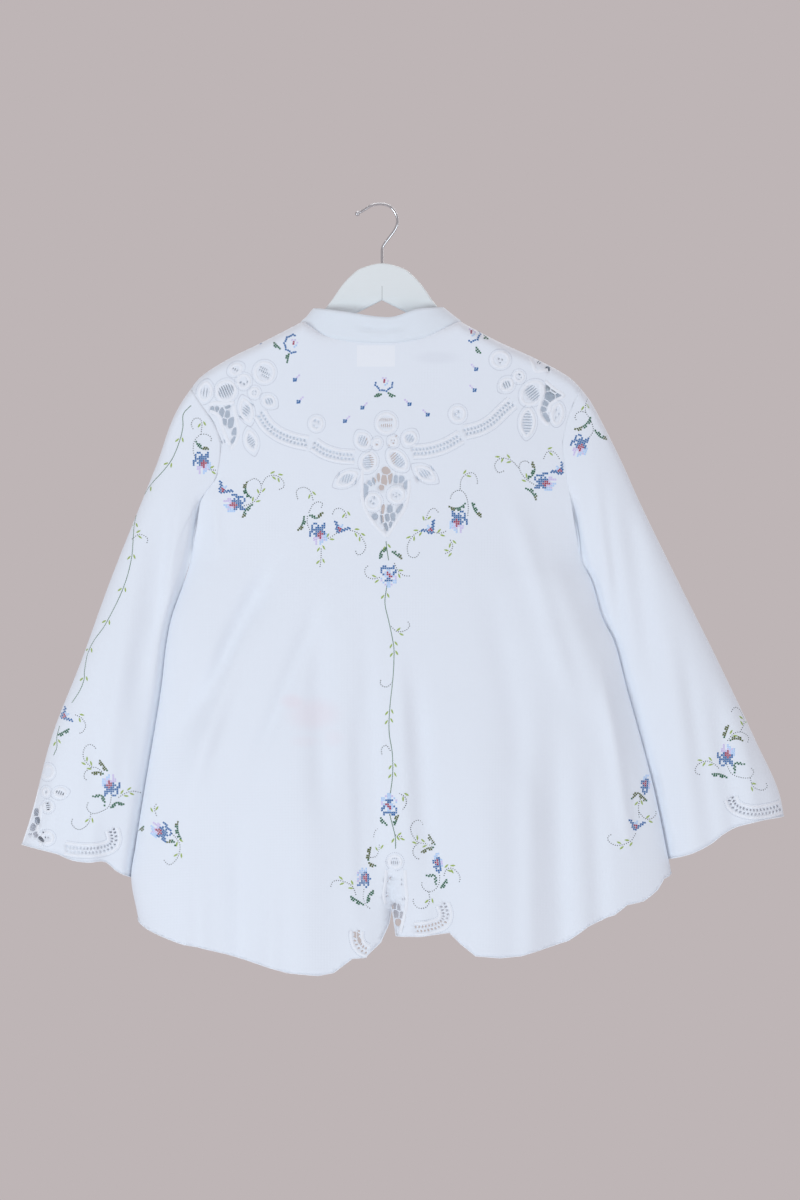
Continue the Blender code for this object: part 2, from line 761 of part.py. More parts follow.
def seam_shift(grid, i, k, normal, seams):
    """Half the seam's gap, away from the panel on the other side."""
    total = Vector()
    last_i = len(grid) - 1
    last_k = len(grid[0]) - 1
    inward = {
        "first": (i == 0, (1, 0)),
        "last": (i == last_i, (-1, 0)),
        "top": (k == 0, (0, 1)),
    }
    for edge in seams:
        on_edge, step = inward[edge]
        if not on_edge:
            continue
        inward_step = grid[i + step[0]][k + step[1]] - grid[i][k]
        if edge in ("first", "last"):
            along_seam = grid[i][min(k + 1, last_k)] - grid[i][max(k - 1, 0)]
        else:
            along_seam = grid[min(i + 1, last_i)][k] - grid[max(i - 1, 0)][k]
        away = along_seam.cross(normal).normalized()
        total += away * copysign(SEAM_GAP / 2, away.dot(inward_step))
    return total


def finish_mesh(name, mesh, material):
    """A named object from a mesh being made, shaded smooth but for its sharp edges."""
    data = bpy.data.meshes.new(name)
    if mesh.calc_volume(signed=True) < 0:
        bmesh.ops.reverse_faces(mesh, faces=mesh.faces)
    mesh.to_mesh(data)
    mesh.free()
    item = bpy.data.objects.new(name, data)
    bpy.data.collections[COLLECTION].objects.link(item)
    data.materials.append(material)
    shade(data)
    return item


def shade(data):
    data.shade_smooth()
    data.set_sharp_from_angle(angle=radians(50))


def make_material(name, colour, roughness, metallic):
    material = bpy.data.materials.new(name)
    material.use_nodes = True
    shader = material.node_tree.nodes["Principled BSDF"]
    channels = [int(colour[i : i + 2], 16) / 255 for i in (0, 2, 4)]
    linear = [c / 12.92 if c <= 0.04045 else ((c + 0.055) / 1.055) ** 2.4 for c in channels]
    shader.inputs["Base Color"].default_value = (*linear, 1)
    shader.inputs["Roughness"].default_value = roughness
    shader.inputs["Metallic"].default_value = metallic
    return material


def slit_gaps(stack):
    """The slits of one stack as single gaps, shorter towards both ends of the petal."""
    lean = radians(stack.lean)
    gaps = []
    for n in range(stack.count):
        offset = (n - (stack.count - 1) / 2) * stack.pitch
        taper = 1 - 0.45 * (2 * offset / (stack.count * stack.pitch)) ** 2
        x = stack.x + offset * cos(lean)
        drop = stack.drop + offset * sin(lean)
        gaps.append(Gap(x, drop, stack.length * taper, stack.width, stack.lean))
    return gaps


def gap_cutter(name, gaps):
    """One prism through the cloth for each gap, along Y."""
    mesh = bmesh.new()
    depth = CUTTER_NEAR - CUTTER_FAR
    middle = (CUTTER_NEAR + CUTTER_FAR) / 2
    for gap in gaps:
        centre = Matrix.Translation(Vector((gap.x, middle, -gap.drop)) * MM)
        turn = Matrix.Rotation(radians(gap.lean), 4, "Y") @ Matrix.Rotation(radians(90), 4, "X")
        size = Matrix.Diagonal((gap.width / 2 * MM, gap.length / 2 * MM, depth * MM, 1))
        prism = centre @ turn @ size
        bmesh.ops.create_cone(
            mesh, cap_ends=True, segments=GAP_SIDES, radius1=1, radius2=1, depth=1, matrix=prism
        )
    item = finish_mesh(name, mesh, bpy.data.materials[COTTON[0]])
    to_cutters(item)
    return item


def to_cutters(item):
    for owner in list(item.users_collection):
        owner.objects.unlink(item)
    bpy.data.collections[CUTTERS].objects.link(item)
    item.hide_render = True
    item.display_type = "WIRE"


def cut(item, cutter):
    modifier = item.modifiers.new("cut_" + cutter.name, "BOOLEAN")
    modifier.operation = "DIFFERENCE"
    modifier.solver = "EXACT"
    modifier.object = cutter


def curve_to_mesh(item, name, material):
    """A mesh object in place of a curve object, with its caps welded."""
    bpy.context.view_layer.update()
    evaluated = item.evaluated_get(bpy.context.evaluated_depsgraph_get())
    data = bpy.data.meshes.new_from_object(evaluated)
    mesh = bmesh.new()
    mesh.from_mesh(data)
    bmesh.ops.remove_doubles(mesh, verts=mesh.verts, dist=0.00001)
    bmesh.ops.recalc_face_normals(mesh, faces=mesh.faces)
    mesh.to_mesh(data)
    mesh.free()
    data.materials.clear()
    data.materials.append(material)
    shade(data)
    solid = bpy.data.objects.new(name, data)
    solid.matrix_world = item.matrix_world
    bpy.data.collections[COLLECTION].objects.link(solid)
    bpy.data.objects.remove(item)
    return solid


def hanger_outline():
    """The hanger's outline, from the crown down the right arm, and back up the left one."""
    right = [(p.x, -p.drop) for p in HANGER_TOP] + arm_outline(HANGER_REACH_RIGHT)
    left = [(p.x, -p.drop) for p in HANGER_TOP] + arm_outline(HANGER_REACH_LEFT)
    notch = [(0.0, -HANGER_NOTCH)]
    return right + notch + [(-x, z) for x, z in reversed(left[1:])]


def arm_outline(reach):
    """One arm: its rounded tip and its lower edge to the notch's foot."""
    start = HANGER_TOP[-1]
    points = []
    tip_top = start.drop + (reach - start.x) * HANGER_TIP_SLOPE
    radius = HANGER_TIP_HEIGHT / 2
    centre = (reach, -(tip_top + radius + HANGER_TIP_DIP))
    for degrees in range(70, -111, -30):
        angle = radians(degrees)
        across = radius * HANGER_TIP_NARROW * cos(angle)
        points.append((centre[0] + across, centre[1] + radius * sin(angle)))
    points.append((HANGER_NOTCH_FOOT.x, -HANGER_NOTCH_FOOT.drop))
    return points


def make_hanger_bar(material):
    curve = bpy.data.curves.new("hanger_outline", "CURVE")
    curve.dimensions = "2D"
    curve.fill_mode = "BOTH"
    curve.extrude = (HANGER_THICK / 2 - HANGER_EDGE) * MM
    curve.bevel_depth = HANGER_EDGE * MM
    curve.bevel_resolution = 1
    curve.offset = -HANGER_EDGE * MM
    points = hanger_outline()
    spline = curve.splines.new("POLY")
    spline.points.add(len(points) - 1)
    for point, (x, z) in zip(spline.points, points):
        point.co = (x * MM, z * MM, 0, 1)
    spline.use_cyclic_u = True
    item = bpy.data.objects.new("hanger_outline", curve)
    item.matrix_world = Matrix.Rotation(radians(90), 4, "X")
    bpy.data.collections[COLLECTION].objects.link(item)
    bar = curve_to_mesh(item, "hanger_bar", material)
    mesh = bmesh.new()
    above_bar = HANGER_TOP[0].drop / 2
    centre = Matrix.Translation(Vector((0, 0, -(above_bar + SHANK_HOLE_FOOT) / 2)) * MM)
    radius = SHANK_HOLE / 2 * MM
    depth = (SHANK_HOLE_FOOT - above_bar) * MM
    bmesh.ops.create_cone(
        mesh, cap_ends=True, segments=16, radius1=radius, radius2=radius, depth=depth, matrix=centre
    )
    drill = finish_mesh("shank_drill", mesh, material)
    to_cutters(drill)
    cut(bar, drill)


def hook_points():
    """Points along the wire: a straight shank, then a smooth crook, then the ball at its end."""
    foot = HOOK_PATH[0]
    crook = HOOK_PATH[1:]
    lengths = [0.0]
    for a, b in zip(crook, crook[1:]):
        lengths.append(lengths[-1] + sqrt((b.x - a.x) ** 2 + (b.drop - a.drop) ** 2))
    x_at = smooth_curve(lengths, [p.x for p in crook])
    drop_at = smooth_curve(lengths, [p.drop for p in crook])
    points = [(foot.x, foot.drop, 1.0)]
    for n in range(HOOK_STEPS + 1):
        run = lengths[-1] * n / HOOK_STEPS
        points.append((x_at(run), drop_at(run), 1.0))
    last = points[-1]
    before = points[-2]
    step = Vector((last[0] - before[0], last[1] - before[1])).normalized()
    for degrees in range(30, 181, 30):
        # A point of radius 0 would leave the ball open
        radius = max(sin(radians(degrees)), 0.12) * BALL / WIRE
        along = BALL / 2 * (1 - cos(radians(degrees)))
        points.append((last[0] + step.x * along, last[1] + step.y * along, radius))
    return points


def make_hanger_hook(material):
    curve = bpy.data.curves.new("hook_wire", "CURVE")
    curve.dimensions = "3D"
    curve.bevel_depth = WIRE / 2 * MM
    curve.bevel_resolution = 2
    curve.use_fill_caps = True
    points = hook_points()
    spline = curve.splines.new("POLY")
    spline.points.add(len(points) - 1)
    for point, (x, drop, radius) in zip(spline.points, points):
        point.co = (x * MM, 0, -drop * MM, 1)
        point.radius = radius
    item = bpy.data.objects.new("hook_wire", curve)
    bpy.data.collections[COLLECTION].objects.link(item)
    curve_to_mesh(item, "hanger_hook", material)


def make_cloth():
    """All the cloth: the garment's points first, then each piece as a wall on them."""
    cotton = make_material(*COTTON)
    collar_cotton = make_material(*COLLAR_COTTON)
    back = back_grid()
    front_left = front_grid(-1)
    front_right = front_grid(1)
    ring = ROWS_ABOVE_UNDERARM + 1
    sleeves = {
        "sleeve_left_back": (sleeve_grid(-1, -1, back[0][:ring]), -1),
        "sleeve_left_front": (sleeve_grid(-1, 1, front_left[-1][:ring]), 1),
        "sleeve_right_back": (sleeve_grid(1, -1, back[-1][:ring]), 1),
        "sleeve_right_front": (sleeve_grid(1, 1, front_right[-1][:ring]), -1),
    }
    collar = collar_grid(back, front_left, front_right)
    body_grids = [(back, -1), (front_left, -1), (front_right, 1), (collar, 1)]
    sleeve_grids = list(sleeves.values())
    normals = face_normals(body_grids + sleeve_grids)
    sleeve_normals = dict(normals)
    body_only = face_normals(body_grids)
    sleeve_only = face_normals(sleeve_grids)
    for side, panel in ((-1, back[0]), (1, back[-1])):
        # The body and the sleeve turn away from each other at the underarm
        underarm = corner_key(panel[ROWS_ABOVE_UNDERARM])
        normals[underarm] = body_only[underarm]
        sleeve_normals[underarm] = sleeve_only[underarm]
        sleeve_normals[corner_key(panel[0])] = Vector((side * 0.5, 0, 0.85))
        normals[corner_key(panel[0])] = Vector((side * 0.5, 0, 0.85))
    panel = wall_object("back", back, -1, normals, ("top", "first", "last"), cotton)
    gaps = list(BACK_GAPS)
    for stack in BACK_SLITS:
        gaps += slit_gaps(stack)
    cut(panel, gap_cutter("back_lace_gaps", gaps))
    wall_object("front_left", front_left, -1, normals, ("top", "last"), cotton)
    wall_object("front_right", front_right, 1, normals, ("top", "last"), cotton)
    for name, (grid, turn) in sleeves.items():
        panel = wall_object(name, grid, turn, sleeve_normals, ("first", "last", "top"), cotton)
        if name == "sleeve_left_back":
            cut(panel, gap_cutter("cuff_lace_gaps", CUFF_GAPS))
    wall_object("collar", collar, 1, normals, ("top",), collar_cotton)
    label = label_grid()
    label_normals = face_normals([(label, -1)])
    wall_object("neck_label", label, -1, label_normals, (), make_material(*LABEL_TAPE), LABEL_THICK)


COLLECTION = "tablecloth_jacket"
CUTTERS = "cutters"


def main():
    for item in list(bpy.data.objects):
        bpy.data.objects.remove(item)
    for name in (COLLECTION, CUTTERS):
        bpy.context.scene.collection.children.link(bpy.data.collections.new(name))
    make_cloth()
    make_hanger_bar(make_material(*WHITE_WOOD))
    make_hanger_hook(make_material(*CHROME))


main()
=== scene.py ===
"""Looks of a jacket sewn from an embroidered tablecloth, on a flat wooden hanger.

Run as a script, the file registers as an add-on and calls its own operators in order. Sizes in the
tables are millimetres. A "drop" is a distance below the origin, where a rail touches the inside of the
hook. A side is -1 on the left and 1 on the right, seen from the garment's back. Places of sewn details
are read off the photo in pixels, and from_photo() turns them to millimetres.
"""

from collections import namedtuple
from math import asin, atan2, ceil, copysign, cos, exp, hypot, pi, radians, sin, sqrt

import bmesh
import bpy
import numpy as np
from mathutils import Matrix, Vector, noise
from mathutils.bvhtree import BVHTree
from mathutils.geometry import delaunay_2d_cdt


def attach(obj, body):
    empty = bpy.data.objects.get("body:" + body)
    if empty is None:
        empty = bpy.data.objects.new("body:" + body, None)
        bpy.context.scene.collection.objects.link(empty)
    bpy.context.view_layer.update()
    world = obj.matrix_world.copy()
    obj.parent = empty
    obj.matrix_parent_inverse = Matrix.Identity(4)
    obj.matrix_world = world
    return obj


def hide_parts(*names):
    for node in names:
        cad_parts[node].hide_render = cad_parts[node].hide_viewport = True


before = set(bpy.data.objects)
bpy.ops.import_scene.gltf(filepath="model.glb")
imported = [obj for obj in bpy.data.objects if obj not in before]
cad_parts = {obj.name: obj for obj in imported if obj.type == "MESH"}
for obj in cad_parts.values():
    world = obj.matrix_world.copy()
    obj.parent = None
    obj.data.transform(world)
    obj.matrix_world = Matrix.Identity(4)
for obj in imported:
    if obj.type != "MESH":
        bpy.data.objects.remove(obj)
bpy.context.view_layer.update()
bpy.ops.object.select_all(action="DESELECT")

bl_info = {
    "name": "Tablecloth jacket",
    "version": (1, 0, 0),
    "blender": (4, 5, 0),
    "location": "3D View > Sidebar > Jacket",
    "description": "Cloth, lace, embroidery, hanger and studio of a jacket sewn from a tablecloth",
    "category": "Object",
}

MM = 0.001

# The photo: its pixel above the origin, its pixel row at the origin, and the size of one pixel
PHOTO_MIDDLE = 382.0
PHOTO_TOP = 203.8
MM_PER_PIXEL = 1.2


def rows_of(kind, values):
    """The rows of a table as named tuples."""
    return [kind(*value) for value in values]


# Neck, armholes and shoulders
NECK_HALF = {-1: 95.4, 1: 93.6}
TIP_DROP = {-1: 221.0, 1: 219.8}
UNDERARM = {-1: 427.4, 1: 435.8}
ARMHOLE_DEPTH = 17.0
ARMHOLE_POWER = 3.0
ARMHOLE_CLOSING = 1.5
SHOULDER_ROUND = 14.0

# Body: half-widths, how far the back and the fronts stand from the middle, and how blunt the sides are
Section = namedtuple("Section", "drop left right back front power")
BODY = rows_of(Section, [
    (221, 230.4, 238.8, 30, 31, 1), (246, 213, 226.5, 31, 32, 1), (265, 200.4, 220.5, 32, 33, 1),
    (289, 193.2, 216.6, 33, 34, 1), (325, 198, 221, 34, 34, 1), (355, 217, 226.5, 35, 35, 1),
    (391, 223.5, 232.5, 36, 36, 0.9), (427.4, 230.5, 240.2, 38, 37, 0.75), (451, 237.6, 252, 39, 38, 0.65),
    (499, 254.4, 266.5, 41, 40, 0.58), (523, 259.2, 278.9, 42, 41, 0.56), (583, 266.4, 295.2, 45, 43, 0.55),
    (643, 276, 312, 48, 45, 0.55), (707, 286.8, 328.5, 51, 47, 0.55), (775, 297.6, 342.5, 54, 49, 0.55),
    (808, 302.4, 348.5, 55, 50, 0.55), (858, 294, 349, 56, 51, 0.55),
])
SIDE_FULLNESS = 2.2
FOLD_FADE = 1.5

# Lines across the garment: x from the middle, drop
Point = namedtuple("Point", "x drop")
SHOULDER_L = rows_of(Point, [
    (-230.4, 221), (-222, 210), (-189.6, 187.4), (-141.6, 163.4), (-95.4, 139.6),
])
SHOULDER_R = rows_of(Point, [
    (93.6, 139.6), (136.8, 162.4), (190.8, 187.4), (228, 209), (238.8, 219.8),
])
NECK_BACK = rows_of(Point, [
    (-95.4, 139.6), (-62.4, 160), (3.6, 167), (45.6, 161), (93.6, 139.6),
])
# The scalloped hem of the back, which is the tablecloth's own edge
HEM_LINE_BACK = rows_of(Point, [
    (-294, 858.2), (-285, 868.6), (-268.4, 876.8), (-237.2, 887.9), (-220.8, 889.7), (-186, 898),
    (-149, 909), (-112.3, 919.1), (-75.6, 922.4), (-57.2, 919.1), (-35.2, 902.5), (-20.4, 901.4),
    (-1.2, 883.4), (8.4, 861.8), (12, 842.6), (16.8, 876.2), (45.6, 876.2), (80.4, 871.4), (93.6, 884.6),
    (111.6, 899), (141.6, 901.4), (165.6, 899.4), (222.8, 882.5), (246.5, 865.7), (270, 854.8),
    (278.4, 852.2), (293.5, 840.5), (313.8, 836.3), (330.6, 823.6), (339, 810.1), (348, 803.4),
])
HEM_FRONT = rows_of(Point, [
    (-294, 858.2), (-180, 880), (-80, 876), (6, 862), (90, 866), (220, 860), (348.5, 803.4),
])
COLLAR_TOP = rows_of(Point, [
    (-82.8, 123.8), (-50.4, 128.6), (8, 136.2), (45.6, 125.6), (74.4, 122.8),
])

# Front neckline and front edges: distance from the centre-front line, drop
NECK_FRONT = rows_of(Point, [
    (32, 222), (48, 212), (66, 194), (82, 168), (94.5, 139.6),
])
FRONT_EDGE = rows_of(Point, [
    (32, 222), (12, 322), (0.5, 385), (0.4, 740), (4.5, 870),
])
CENTRE_FRONT = rows_of(Point, [
    (0, 222), (1.2, 385), (3, 700), (11, 870),
])
COLLAR_STAND = 31.0
COLLAR_SIDE_STAND = 20.6
COLLAR_LEAN = 0.88
# How far the stand slants towards the neck: share of the way from the front end to the shoulder, slant
Slant = namedtuple("Slant", "share slant")
COLLAR_SLANTS = rows_of(Slant, [
    (0, 0.25), (0.25, 0.5), (0.5, 0.75), (0.6, 0.75), (1, 0.65),
])

# Sleeves: outer edge from the shoulder tip to the cuff
SLEEVE_OUT_L = rows_of(Point, [
    (230.4, 221), (240.5, 235.4), (253.2, 259.4), (270, 307.4), (289.2, 355.4), (327.6, 451.4),
    (362.4, 547.4), (399.6, 643.4), (424.8, 739.4), (435, 770),
])
SLEEVE_OUT_R = rows_of(Point, [
    (238.8, 219.8), (250.8, 235.4), (264, 259.4), (288, 307.4), (309.6, 355.4), (356.4, 451.4),
    (404.4, 547.4), (450, 643.4), (481.2, 715.4), (485, 736),
])
# Inner edge from the underarm to the cuff, nearer to the body than the CAD's, which keeps a gap there
SLEEVE_INNER_L = rows_of(Point, [
    (226.8, 427.4), (236.5, 455), (243.5, 490), (250, 540), (256, 600), (268, 720), (278.4, 816.2),
])
SLEEVE_INNER_R = rows_of(Point, [
    (241.8, 435.8), (249.5, 458), (259, 490), (270, 525), (282, 583), (297, 643), (311, 720), (324, 790),
])
SLEEVE_OUTER = {-1: SLEEVE_OUT_L, 1: SLEEVE_OUT_R}
SLEEVE_INNER = {-1: SLEEVE_INNER_L, 1: SLEEVE_INNER_R}
# How far the cuff's hem drops below the straight line between its two ends: share across, drop
Hang = namedtuple("Hang", "share drop")
CUFF_HANG_L = rows_of(Hang, [
    (0, 0), (0.11, -1.4), (0.28, -3.2), (0.4, -0.9), (0.52, -3.8), (0.65, -10.4), (0.75, -2.4), (0.86, 0.2),
    (1, 0),
])
CUFF_HANG_R = rows_of(Hang, [
    (0, 0), (0.22, -6.3), (0.36, -7.8), (0.47, -4.6), (0.55, 1.7), (0.72, 5.6), (0.88, 4.2), (1, 0),
])
CUFF_HANG_POWER = 7
SLEEVE_DEPTH = 17.0
CUFF_DEPTH = 30.0
SLEEVE_FULLNESS = 2.4
SLEEVE_POWER = 0.62
BOW_LENGTH = 0.35
SETTLE_LENGTH = 0.25
CREASE_START = 9
BEHIND_FRONT = 1.2
BEHIND_FRONT_REACH = 10.0
BEHIND_FRONT_START = 0.06
INNER_EDGE_SPARE = 1.4
INNER_PULL = 1.6
CUFF_FORWARD = 9.0
# The armhole lies flush above the first drop, and further down the body hangs over the sleeve
TUCK_START = 340.0
TUCK_LENGTH = 60.0

# Largest folds: where each starts and ends, half its width, and how far it stands out (in, if below 0)
Fold = namedtuple("Fold", "x_top top x_bottom bottom width rise")
BACK_FOLDS = rows_of(Fold, [
    (-114, 395, -252, 665, 15, -8), (-190, 480, -238, 760, 18, 7), (-76, 470, -72, 760, 15, -6),
    (-24, 440, 12, 1100, 13, -6), (38, 530, 60, 830, 13, -5), (12, 760, 12, 1000, 7, -14),
    (181, 360, 312, 720, 20, 8), (284, 500, 326, 740, 13, -8), (-95, 560, -100, 1150, 36, 9),
    (120, 560, 138, 1150, 36, 9), (205, 560, 222, 1100, 16, -6), (-170, 690, -168, 1100, 15, -6),
])
FRONT_FOLDS = rows_of(Fold, [
    (-120, 330, -210, 900, 22, 7), (-70, 420, -110, 1050, 16, -6), (-200, 470, -170, 1050, 14, -6),
    (110, 330, 200, 900, 22, 7), (70, 420, 105, 1050, 16, -6), (215, 500, 250, 1000, 15, -6),
])
SLEEVE_BACK_FOLDS = rows_of(Fold, [
    (-262, 330, -300, 640, 13, -5), (-300, 430, -360, 900, 18, 6), (-340, 620, -330, 900, 12, -5),
    (292, 330, 330, 600, 13, -5), (340, 480, 385, 900, 18, 6), (395, 560, 440, 850, 12, -5),
])
SLEEVE_FRONT_FOLDS = rows_of(Fold, [
    (-270, 330, -330, 900, 16, 5), (-300, 560, -395, 860, 14, -5), (300, 330, 370, 900, 16, 5),
    (330, 560, 440, 860, 14, -5),
])
FOLD_START = 0.35
FOLD_END = 0.3
# Smaller creases of the cloth, and its slight unevenness
CREASE_DEPTH = 1.7
SOFT_CREASES = rows_of(Fold, [
    (-64, 450, -158, 690, 11, -3), (-108, 400, -240, 670, 24, -3.4), (-150, 470, -226, 700, 12, 3.2),
    (-32, 560, -18, 900, 9, -2.2), (20, 520, 34, 800, 8, 1.8), (150, 330, 236, 620, 14, 3),
    (120, 420, 190, 760, 18, -2), (262, 520, 300, 800, 10, 3), (-210, 300, -196, 440, 9, 2),
    (176, 560, 176, 1000, 14, 3), (250, 640, 268, 1000, 14, -3), (-130, 760, -136, 1100, 12, 3),
    (-220, 740, -214, 1100, 14, 3), (52, 800, 50, 1100, 9, 3),
])
SLEEVE_CREASES = rows_of(Fold, [
    (-250, 330, -282, 560, 8, -3), (-236, 300, -262, 520, 8, 2.4), (-318, 480, -372, 860, 10, -2.6),
    (-392, 640, -406, 900, 9, 2.2), (-300, 600, -310, 900, 9, 2.4), (262, 320, 296, 560, 8, -3),
    (250, 290, 280, 500, 8, 2.4), (352, 480, 414, 860, 10, -2.6), (330, 600, 352, 900, 9, 2.6),
    (430, 600, 462, 850, 9, 2.2),
])
CREASE_WAVE = 0.7
CREASE_WAVE_LENGTH = 52.0
SIDE_FADE = 8.0
TOP_FADE = 40.0

# Lace gaps wider or longer than 4 mm: centre, drop, length, width, lean of the long way to the right
Gap = namedtuple("Gap", "x drop length width lean")
# A stack of slits between needle-woven bars: centre, drop, how many, their spacing, longest, width, lean
Slits = namedtuple("Slits", "x drop count pitch length width lean")
BACK_GAPS = rows_of(Gap, [
    # Net above the middle of the centre flower
    (5, 321, 8, 6.5, -45), (2.8, 331, 12, 5.6, 0), (9.8, 329.6, 10, 4, 8), (-4, 329, 8, 2.6, 0),
    (-0.4, 340.6, 5, 4.4, 0), (-20, 344.5, 18, 5.6, 4), (-14.4, 335.6, 5, 4.6, 20), (-9.6, 333, 7, 3.6, 12),
    (16.6, 330.8, 7.5, 4.2, 0), (23.2, 331, 6.5, 5.6, 0), (28.4, 337, 8.5, 3.6, 0),
    # Net in the shield below it
    (-8.4, 375.6, 5.6, 5.4, -40), (1, 367.6, 10, 2.8, 10), (0.2, 378.6, 9.6, 2.8, -6),
    (9.4, 366.8, 8, 5, 0), (6.4, 377, 9, 4.2, 0), (13, 375.6, 9, 4.4, 0), (20.6, 366.8, 11, 3.2, 34),
    (4.8, 387, 9, 3, -18), (10.4, 385.4, 8, 2.6, 14),
    # Net on the left shoulder
    (-203.4, 247.2, 6, 4.8, 10), (-198, 246.6, 5.4, 3.8, 0), (-192.2, 250.4, 9.6, 5, -12),
    (-185.6, 252.4, 9.6, 4.6, 0), (-185.2, 244, 6, 2.8, 68), (-188.4, 261.4, 6.6, 4.4, -25),
    (-181.4, 262, 11, 5.2, 8), (-176.8, 273.6, 8, 4.6, 20), (-177.4, 282.8, 8, 4, 38),
    # Net on the right shoulder
    (199, 221, 6.6, 4.2, 0), (207, 223.6, 8.4, 3.2, -62), (201.6, 231.6, 9.8, 9, 0),
    (212, 230.6, 6.2, 5.2, -70), (196.2, 239.6, 6.4, 5, 20), (193.8, 246.4, 6, 5, -20),
    (196.8, 255, 11, 3.8, -32), (199, 197.8, 5, 4.2, 0),
    # Net at the centre-back hem, and the braid's end beside it
    (15, 841, 6, 3.4, 20), (19.8, 842, 7, 3, -14), (17, 850.2, 8.6, 4.4, -8), (23.2, 850.6, 6.4, 4, 0),
    (19.2, 859.6, 6.8, 5.2, 10), (-30, 874.6, 5.6, 3.6, 0), (-26.8, 881.4, 4.6, 3.4, 0),
])
BACK_SLITS = rows_of(Slits, [
    (-16, 310.6, 5, 3.9, 13, 2.1, 86), (18.6, 307.8, 5, 3.9, 12, 2.2, 48),
    (-22.6, 284.6, 4, 3.9, 11, 2.1, 24), (33.4, 281.6, 3, 4.2, 8, 2.6, 30),
    (-41.4, 329.8, 6, 4.1, 11, 2.2, 16), (51.6, 324, 6, 4.1, 9, 2.2, -34),
    (-187, 224.6, 5, 4.1, 13, 2.2, -24), (-162.8, 248.2, 6, 3.9, 8.5, 2.2, -52),
    (-135.2, 237.2, 4, 3.9, 7.5, 2.2, -20), (-157, 284.8, 5, 3.9, 7, 2, 56),
    (180.4, 227.2, 6, 3.9, 12.5, 2.3, 52), (174.4, 262.6, 7, 4.4, 11, 2.2, 92),
    (149.6, 217.2, 4, 3.9, 7.5, 2.2, -24),
])
CUFF_GAPS = rows_of(Gap, [
    (-416.6, 731.2, 7.2, 4.4, 4), (-415.2, 741, 7, 5.2, 0), (-420.4, 749, 7, 5.2, 20),
    (-417, 757.6, 5.2, 4, -30), (-410, 762.6, 7, 3, -50),
])

# Hanger: the upper edge of the right half, the lower edge, and the wire hook
HANGER_TOP = rows_of(Point, [
    (0, 69.8), (25, 75.8), (38, 85.4), (47, 95), (54, 104.6), (60, 113.6), (67, 122.4), (76, 132.5),
    (86, 143), (96, 150.5), (118, 158.6), (137, 166.2), (160, 176.4), (185, 187.9), (195, 193.4),
])
HANGER_TIP_SLOPE = 0.72
HANGER_REACH_LEFT = 203.0
HANGER_REACH_RIGHT = 208.0
HANGER_TIP_HEIGHT = 24.0
HANGER_TIP_DIP = 1.0
HANGER_NOTCH = 114.2
HANGER_NOTCH_FOOT = Point(31.0, 130.0)
HANGER_THICK = 11.0
HANGER_TIP_NARROW = 0.8
WIRE = 3.4
BALL = 6.0
HOOK_PATH = rows_of(Point, [
    (0, 98), (0, 51.8), (2.4, 47), (9.6, 37.4), (16.2, 27.8), (18.6, 18.2), (15.6, 8.2), (8.4, 0.6),
    (-2.4, -1.8), (-13.2, 0.2), (-21.6, 5.4), (-27, 8.4),
])


def smooth_curve(table):
    """A smooth curve through a table's pairs that never overshoots them."""
    xs, ys = np.asarray(table, float).T
    steps = np.diff(xs)
    slopes = np.diff(ys) / steps
    tangents = np.zeros_like(ys)
    for i in range(1, len(xs) - 1):
        if slopes[i - 1] * slopes[i] > 0:
            before = 2 * steps[i] + steps[i - 1]
            after = steps[i] + 2 * steps[i - 1]
            tangents[i] = (before + after) / (before / slopes[i - 1] + after / slopes[i])
    tangents[0] = slopes[0]
    tangents[-1] = slopes[-1]

    def value(x):
        x = min(max(x, xs[0]), xs[-1])
        i = min(max(int(np.searchsorted(xs, x)) - 1, 0), len(steps) - 1)
        t = (x - xs[i]) / steps[i]
        start = ys[i] * (1 + 2 * t) * (1 - t) ** 2 + ys[i + 1] * t * t * (3 - 2 * t)
        lean = tangents[i] * t * (1 - t) ** 2 + tangents[i + 1] * t * t * (t - 1)
        return float(start + steps[i] * lean)

    return value


def along_drop(table):
    """Distance from the middle as a function of drop."""
    return smooth_curve([(p.drop, p.x) for p in table])


def section_curve(column):
    return smooth_curve([(s.drop, getattr(s, column)) for s in BODY])


half_width = {-1: section_curve("left"), 1: section_curve("right")}
back_depth = section_curve("back")
front_depth = section_curve("front")
side_power = section_curve("power")
shoulder = {-1: smooth_curve(SHOULDER_L), 1: smooth_curve(SHOULDER_R)}
neck_back = smooth_curve(NECK_BACK)
neck_front = smooth_curve(NECK_FRONT)
hem_front = smooth_curve(HEM_FRONT)
collar_top = smooth_curve(COLLAR_TOP)
front_edge = along_drop(FRONT_EDGE)
centre_front = along_drop(CENTRE_FRONT)
collar_slant = smooth_curve(COLLAR_SLANTS)
sleeve_outer = {side: along_drop(table) for side, table in SLEEVE_OUTER.items()}
sleeve_inner = {side: along_drop(table) for side, table in SLEEVE_INNER.items()}
cuff_hang = {-1: smooth_curve(CUFF_HANG_L), 1: smooth_curve(CUFF_HANG_R)}


def ease(share):
    """A smooth step from 0 to 1."""
    share = min(max(share, 0.0), 1.0)
    return share * share * (3 - 2 * share)


def side_of(x):
    return -1 if x < 0 else 1


def place(x, y, drop):
    return Vector((x, y, -drop))


def across_of(x, drop):
    """0 in the middle of the body, and 1 at its side."""
    return min(abs(x) / half_width[side_of(x)](drop), 1.0)


def fold_height(folds, x, drop):
    """How far the folds lift the cloth at a place."""
    total = 0.0
    for fold in folds:
        run = (drop - fold.top) / (fold.bottom - fold.top)
        if 0 < run < 1:
            middle = fold.x_top + (fold.x_bottom - fold.x_top) * run
            swell = ease(run / FOLD_START) * ease((1 - run) / FOLD_END)
            total += fold.rise * swell * exp(-(((x - middle) / fold.width) ** 2))
    return total


